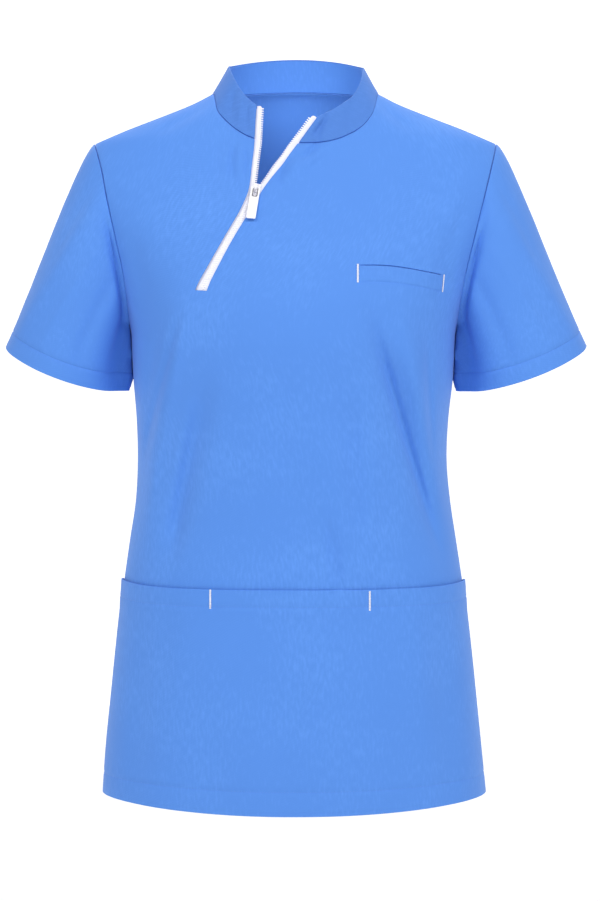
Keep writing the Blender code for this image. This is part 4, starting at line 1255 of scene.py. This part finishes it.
def rolled_over(grid, normal, inside, down):
    """Turns the last row over to the inside."""
    up = unit(grid[-1] - grid[-2])
    crest = grid[-1] + up * 0.0003 - normal[-1] * inside / 2
    under = [grid[-1] - normal[-1] * inside - up * d for d in (0.0002, down)]
    return np.concatenate([grid, [crest], under])


def collar_layers():
    normal = outward_of(collar, round_the_neck)
    tuck = np.stack([base - base_into * SEAM_HALF - base_normal * d for d in (ALLOWANCE, ROLL * 0.6)])
    foot = collar[:1] + unit(collar[1:2] - collar[:1]) * ROLL * 0.6
    outer = np.concatenate([tuck, rolled_over(np.concatenate([foot, collar[1:]]), normal, *ROLLED)])
    count = collar.shape[1]
    ends = np.minimum(np.arange(count), count - 1 - np.arange(count))
    room = LINING_DEPTH + TAPE_ROOM * (1 - smooth((ends - ROOM_COLUMNS[0]) / ROOM_COLUMNS[1]))
    inner = collar - normal * room[None, :, None]
    inner[-1] -= unit(collar[-1] - collar[-2]) * LINING_SHORT[1]
    inner[0] += unit(collar[1] - collar[0]) * LINING_SHORT[0]
    return outer, inner


outer_points, inner_points = collar_layers()
# the outer collar takes the darker cloth, which is painted shade
for name, points, material, slot, node in (
        ("collar_outside", outer_points, collar_blue_painted_shade, "cloth_blue", "collar_outer"),
        ("collar_inside", inner_points, inner_blue, "cloth_blue_inner", "collar_inner")):
    piece = settled(cloth(name, points, material, column=points.shape[1] // 2), node=node)
    print(name, round(area_of(points), 4), "m2, round the neck", round(float(run_along(base)[-1]), 3), "m")

# %% [markdown]
# ## Zip
# A moulded zip: two woven tapes with a row of teeth along each inner edge. Below the
# slider the teeth mesh and the tapes lie side by side; above it they part and follow the
# edges of the collar. Each tooth is one small bevelled block, because there are about 175
# of them. The tapes come from stations along the cloth edges, so they bend with the cloth.

# %% Zip sizes
TEETH_LINE = metres((
    (-203, -90.5, -90.5),
    (-176, -77.3, -77.3),
    (-149, -62.7, -62.7),
    (-121, -46.7, -46.7),
    (-106, -39.8, -39.8),
    (-96.5, -38.1, -33.5),
    (-90, -36.7, -29.2),
    (-71.7, -34.6, -16.9),
    (-58.9, -33.5, -8),
    (-48, -32.7, 0.5),
))
TAPE = 0.0006              # thickness of the woven tape
TAPE_RIB = 0.0006
TAPE_DEPTH = 0.0019        # from the cloth's middle to the tape's
TAPE_HIDDEN = 0.006
TAPE_SHOWN = 0.0063
TAPE_SHORT = 0.0013        # of the teeth's line, where the zip is open
TAPE_REACH = 30            # columns of a panel that the hidden edge is looked for in
# across a tape from the cloth's edge: share of the width, and how far out
TAPE_SECTION = ((0.0, 0), (0.2, 0), (0.32, 0.00012), (0.42, 0), (0.62, 0), (0.85, 0), (1.0, 0))
TAPE_END = ((0.0008,), (0.0022,))    # how the upper corner is rounded
TEETH_GAP = 0.00015
TOOTH = (0.0032, 0.0012, 0.0013)     # across, along, thick
TOOTH_PAST = 0.0007        # of the tape's edge
TOOTH_BEVEL = 0.0003
TEETH_ENDS = (0.0012, 0.0026)        # free of teeth, at the lower and the upper end
PITCH = 0.0024
SLIDER_LEVELS = (-0.106, -0.0965)


def read_straight(rows, at, value):
    return float(np.interp(value, [r[0] for r in rows], [r[at] for r in rows]))


# %% Tapes and teeth
def tape_stations(column, step, teeth, end):
    """Hidden edge, cloth edge and teeth edge of a tape, from its lower end up."""
    strips = [front[i, column:column + TAPE_REACH * step:step] for i in range(ZIP_END_ROW, len(front))]
    strips += [(row if end == 0 else row[::-1])[:TAPE_REACH] for row in collar[1:]]
    hidden = np.array([at_run(run_along(row), row, TAPE_HIDDEN) for row in strips])
    edge = np.array([row[0] for row in strips])
    aside = unit(hidden - edge)
    way = unit(np.gradient(edge, axis=0))
    tip = edge - unit(aside - way * (aside * way).sum(-1, keepdims=True)) * TAPE_SHOWN
    for k in range(len(front) - ZIP_END_ROW):
        x, y, z = edge[k]
        x_tip = read_straight(TEETH_LINE, teeth, z) + (TEETH_GAP if teeth == 2 else -TEETH_GAP)
        tip[k] = (x_tip, y + body_depth("front", x, z) - body_depth("front", x_tip, z), z)
    first = int(np.argmax(edge[:, 2] > SLIDER_LEVELS[1])) + 1
    for _ in range(60):
        tip[first:-1] = (tip[first - 1:-2] + tip[first:-1] * 2 + tip[first + 1:]) / 4
    return np.stack([hidden, edge, tip], axis=1)


def tape_points(stations):
    """The tape, woven a little short of the teeth's tips where the zip is open."""
    hidden, edge, tip = stations[:, 0], stations[:, 1], stations[:, 2]
    across = unit(tip - edge)
    width = np.linalg.norm(tip - edge, axis=1)[:, None]
    cut = np.where(edge[:, 2:] > SLIDER_LEVELS[1], TAPE_SHORT, 0.0)
    columns = [hidden, hidden * 0.5 + edge * 0.5]
    for share, out in TAPE_SECTION:
        columns.append(edge + across * (width - cut) * share + np.array((0, -out, 0)))
    grid = np.stack(columns, axis=1)
    rounded = grid[-1, 2:] - grid[-2, 2:]
    grid[-1, -2:] -= unit(rounded[-2:]) * TAPE_END
    normal = outward_of(grid, forwards)
    return grid - normal * TAPE_DEPTH


def teeth_along(name, stations, shift, material):
    """One block for each tooth, square to the tape's edge."""
    line, across = stations[:, 2], unit(stations[:, 2] - stations[:, 1])
    mid = np.stack([stations[:, 0], stations[:, 1], stations[:, 2]], axis=1)
    normal = outward_of(mid, forwards)[:, 2]
    run = run_along(line)
    bm = bmesh.new()
    for at in np.arange(TEETH_ENDS[0] + shift, run[-1] - TEETH_ENDS[1], PITCH):
        centre, over, out = (at_run(run, part, at) for part in (line, across, normal))
        out = unit(out)
        along = unit(np.cross(out, over))
        over = unit(np.cross(along, out))
        frame_matrix = Matrix((over, along, out)).transposed().to_4x4()
        spot = centre - out * TAPE_DEPTH + over * (TOOTH_PAST - TOOTH[0] / 2)
        matrix = Matrix.Translation(spot) @ frame_matrix @ Matrix.Diagonal((*TOOTH, 1))
        bmesh.ops.create_cube(bm, size=1, matrix=matrix)
    bmesh.ops.bevel(bm, geom=bm.edges[:], offset=TOOTH_BEVEL, segments=1, affect="EDGES", profile=0.5,
                    material=-1)
    return from_bmesh(name, bm, material)


def woven_tape():
    """Polyester zip tape: a close, slightly glossy weave with a 0.6 mm rib."""
    material, tree, shader = new_material("woven_polyester_tape_white", "#EDECF6", 0.62, Sheen_Weight=0.15)
    grain = add(tree, "ShaderNodeUVMap", uv_map="grain").outputs[0]
    ribs = add(tree, "ShaderNodeTexWave", [("Vector", grain), ("Scale", math.pi / (10 * TAPE_RIB)),
                                           ("Distortion", 0.3)], wave_type="BANDS", bands_direction="Y")
    bump = add(tree, "ShaderNodeBump", [("Height", ribs.outputs["Fac"]), ("Strength", 0.6),
                                        ("Distance", 0.0001)])
    tree.links.new(bump.outputs[0], shader.inputs["Normal"])
    tone = add(tree, "ShaderNodeValToRGB", [("Fac", ribs.outputs["Fac"])])
    for stop, code in zip(tone.color_ramp.elements, ("#E4E3F1", "#F2F1F9")):
        stop.color = linear(code)
    tree.links.new(tone.outputs["Color"], shader.inputs["Base Color"])
    return material


tape_white = woven_tape()
SATIN = {"Coat_Weight": 0.15, "Coat_Roughness": 0.3}       # moulded acetal and lacquer
acetal = fine_grained("moulded_acetal_teeth_white", "#F4F3F8", 0.42, 0.0008, **SATIN)
for name, column, step, teeth, end, shift in (("zip_tape_right", opening, -1, 1, 0, 0.0),
                                              ("zip_tape_left", opening + GAP_SPANS, 1, 2, -1, PITCH / 2)):
    stations = tape_stations(column, step, teeth, end)
    points = tape_points(stations)
    tape = settled(cloth(name + "_woven", points, tape_white, wall=TAPE, column=2), node=name)
    print(name, round(area_of(points), 5), "m2,", round(float(run_along(points[:, 4])[-1]), 3), "m long")
    settled(teeth_along(name.replace("tape", "teeth"), stations, shift, acetal))

# %% [markdown]
# ## Slider and pull
# The slider is a die-cast body, lacquered white: an upper and a lower plate with rims, a
# post between them, and a bail over the top that the pull hangs on. The pull is a moulded
# tab with a window. Both are boxes and half rings cut, tapered and bevelled in bmesh.

# %% Slider and pull sizes
SLIDER_LEAN = math.radians(17)
PULL_LEAN = math.radians(6)
PULL_REST = math.radians(4.5)        # the pull's lower end stands off the cloth
PLATE = (0.0078, 0.0090, 0.0012)
SLOT = 0.00085
BAIL_REACH = 0.0032
BAIL_TOP = 0.0034
BAIL_WALL, BAIL_WIDTH = 0.0009, 0.0024
SUNK = 0.0003               # the bail's feet in the upper plate
POST = (0.0014, 0.0031, 2 * SLOT + 0.0012)
POST_ALONG = 0.0026
PLATE_TAPER = 0.74
PLATE_EDGE, POST_EDGE = 0.00035, 0.0002      # rounding
BAR_RADIUS = 0.00075
BAR_OUT = SLOT + PLATE[2] + 0.0004 + BAR_RADIUS
BAR_ALONG = -0.0012
TAB = (0.0090, 0.0365, 0.0018)
WINDOW = (0.0056, 0.0100)
TAB_CORNER, TAB_EDGE = 0.0011, 0.00042       # rounding
BAR_SLIMMER = (1, 0.5, 0.5)
WIRE = 0.0004               # radius


def edge_at(column, level):
    line = front[ZIP_END_ROW:, column]
    return Vector([float(np.interp(level, line[:, 2], line[:, c])) for c in range(3)])


def slider_place():
    low, high = SLIDER_LEVELS
    middle = (low + high) / 2
    left, right = edge_at(opening, middle), edge_at(opening + GAP_SPANS, middle)
    up = (edge_at(opening, high) - edge_at(opening, low)
          + edge_at(opening + GAP_SPANS, high) - edge_at(opening + GAP_SPANS, low))
    out = (right - left).cross(up).normalized()
    out = out if out.y < 0 else -out
    x = (read_straight(TEETH_LINE, 1, middle) + read_straight(TEETH_LINE, 2, middle)) / 2
    return left.lerp(right, (x - left.x) / (right.x - left.x)) - out * TAPE_DEPTH, out


def leaning(out, lean):
    along = Vector((math.sin(lean), 0, math.cos(lean)))
    along = (along - out * along.dot(out)).normalized()
    return along.cross(out).normalized(), along, out


def axes(origin, across, along, out):
    return Matrix.Translation(origin) @ Matrix((across, along, out)).transposed().to_4x4()


slider_origin, slider_out = slider_place()
solid_middle = (np.array(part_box("zip_slider")[0]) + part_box("zip_slider")[1]) / 2
print("slider", [round(c, 4) for c in slider_origin], "solid", solid_middle.round(4))


# %% Slider
def slab(bm, size, centre, taper, bevel):
    """A bevelled block, its lower end narrowed by taper."""
    matrix = Matrix.Translation(centre) @ Matrix.Diagonal((*size, 1))
    made = bmesh.ops.create_cube(bm, size=1, matrix=matrix)["verts"]
    for v in made:
        if v.co.y < centre[1]:
            v.co.x = centre[0] + (v.co.x - centre[0]) * taper
    edges = list({e for v in made for e in v.link_edges})
    bmesh.ops.bevel(bm, geom=edges, offset=bevel, segments=3, affect="EDGES", profile=0.5, material=-1)


def half_ring(bm, radius, thick, width):
    """A flat bar spun half round."""
    bar = bmesh.ops.create_circle(bm, cap_ends=False, radius=1, segments=12)["verts"]
    bmesh.ops.scale(bm, vec=(width / 2, thick / 2, 1), verts=bar)
    bmesh.ops.rotate(bm, cent=(0, 0, 0), matrix=Matrix.Rotation(math.pi, 3, "Z"), verts=bar)
    bmesh.ops.translate(bm, vec=(0, -radius, 0), verts=bar)
    edges = list({e for v in bar for e in v.link_edges})
    bmesh.ops.spin(bm, geom=bar + edges, cent=(0, 0, 0), axis=(-1, 0, 0), angle=math.pi, steps=16,
                   use_merge=False)


def build_slider():
    bm = bmesh.new()
    for side in (1, -1):
        slab(bm, PLATE, (0, 0, side * (SLOT + PLATE[2] / 2)), PLATE_TAPER, PLATE_EDGE)
    slab(bm, POST, (0, POST_ALONG, 0), 1.0, POST_EDGE)
    return bm


def build_bail():
    bm = bmesh.new()
    half_ring(bm, BAIL_REACH, BAIL_WALL, BAIL_WIDTH)
    base = SLOT + PLATE[2] - SUNK
    for v in bm.verts:
        v.co.z = base + (v.co.z + BAIL_WALL / 2) * (BAIL_TOP + SUNK) / BAIL_REACH
    bmesh.ops.holes_fill(bm, edges=[e for e in bm.edges if e.is_boundary])
    bmesh.ops.recalc_face_normals(bm, faces=bm.faces)
    return bm


lacquer = fine_grained("die_cast_zinc_white_lacquer", "#F1F0F6", 0.34, 0.0015, **SATIN)
slider_frame = axes(slider_origin, *leaning(slider_out, SLIDER_LEAN))
for name, bm, node in (("zip_slider_body", build_slider(), "zip_slider"),
                       ("zip_slider_bail", build_bail(), None)):
    bmesh.ops.transform(bm, matrix=slider_frame, verts=bm.verts)
    settled(from_bmesh(name, bm, lacquer), node=node)


# %% Pull tab
def build_pull():
    """A plate with a window, from a grid of three by three faces."""
    xs = (-TAB[0] / 2, -WINDOW[0] / 2, WINDOW[0] / 2, TAB[0] / 2)
    ys = (BAR_RADIUS - TAB[1], -BAR_RADIUS - WINDOW[1], -BAR_RADIUS, BAR_RADIUS)
    bm = bmesh.new()
    bmesh.ops.create_grid(bm, x_segments=3, y_segments=3, size=1)
    for v in bm.verts:
        v.co.x, v.co.y = xs[round((v.co.x + 1) * 1.5)], ys[round((v.co.y + 1) * 1.5)]
    middles = {f: f.calc_center_median() for f in bm.faces}
    window = [f for f, middle in middles.items() if abs(middle.x) < 1e-5 and ys[1] < middle.y < ys[2]]
    bmesh.ops.delete(bm, geom=window, context="FACES")
    corners = [v for v in bm.verts if len(v.link_faces) == 1]
    bmesh.ops.bevel(bm, geom=corners, offset=TAB_CORNER, segments=4, affect="VERTICES", profile=0.5,
                    material=-1)
    bmesh.ops.solidify(bm, geom=bm.faces[:], thickness=TAB[2])
    bmesh.ops.translate(bm, vec=(0, 0, -sum(v.co.z for v in bm.verts) / len(bm.verts)), verts=bm.verts)
    bmesh.ops.recalc_face_normals(bm, faces=bm.faces)
    sharp = [e for e in bm.edges if len(e.link_faces) == 2 and e.calc_face_angle() > math.radians(60)]
    bmesh.ops.bevel(bm, geom=sharp, offset=TAB_EDGE, segments=3, affect="EDGES", profile=0.5, material=-1)
    # the cross bar is slimmer than the tab, so that it turns freely under the bail
    bar_verts = [v for v in bm.verts if abs(v.co.x) < WINDOW[0] / 2 + 0.0005 and v.co.y > -BAR_RADIUS - 0.0005]
    bmesh.ops.scale(bm, vec=BAR_SLIMMER, verts=bar_verts)
    return bm


def build_ring():
    """The wire that lines the window: a U round the bail, its dark grey partly painted shadow of the gap round
    the bail.
    """
    bm = bmesh.new()
    half = WINDOW[0] / 2 - WIRE
    high, low = -BAR_RADIUS - WIRE, -BAR_RADIUS - WINDOW[1] + 1.5 * WIRE
    path = [Vector((-half, high, 0)), Vector((-half, low + half, 0))]
    path += [Vector((-half * math.cos(a), low + half - half * math.sin(a), 0))
             for a in np.linspace(0.3, math.pi - 0.3, 9)]
    path += [Vector((half, low + half, 0)), Vector((half, high, 0))]
    rings = []
    for k, p in enumerate(path):
        way = (path[min(k + 1, len(path) - 1)] - path[max(k - 1, 0)]).normalized()
        matrix = Matrix.Translation(p) @ way.to_track_quat("Z", "Y").to_matrix().to_4x4()
        made = bmesh.ops.create_circle(bm, cap_ends=False, radius=WIRE, segments=10, matrix=matrix)["verts"]
        rings.append(list({e for v in made for e in v.link_edges}))
    for a, b in zip(rings, rings[1:]):
        bmesh.ops.bridge_loops(bm, edges=a + b)
    bmesh.ops.holes_fill(bm, edges=[e for e in bm.edges if e.is_boundary])
    bmesh.ops.recalc_face_normals(bm, faces=bm.faces)
    return bm


pull_white = fine_grained("moulded_acetal_pull_white", "#F6F5F9", 0.45, 0.0012, **SATIN)
# the wire's dark grey is partly painted shadow of the gap between the bail and the window
nickel_painted_shadow = fine_grained("nickel_plated_steel_painted_shadow", "#8A8886", 0.34, 1 / 1400, Metallic=1.0)
bar = slider_frame @ Vector((0, BAR_ALONG, BAR_OUT))
across, along, out = leaning(slider_out, PULL_LEAN)
tilt = Matrix.Rotation(-PULL_REST, 3, across)
pull_frame = axes(bar, across, tilt @ along, tilt @ out)
for name, bm, material, node in (("zip_pull_tab", build_pull(), pull_white, "zip_pull"),
                                 ("zip_pull_wire", build_ring(), nickel_painted_shadow, None)):
    bmesh.ops.transform(bm, matrix=pull_frame, verts=bm.verts)
    settled(from_bmesh(name, bm, material), body="pull_tab", node=node)
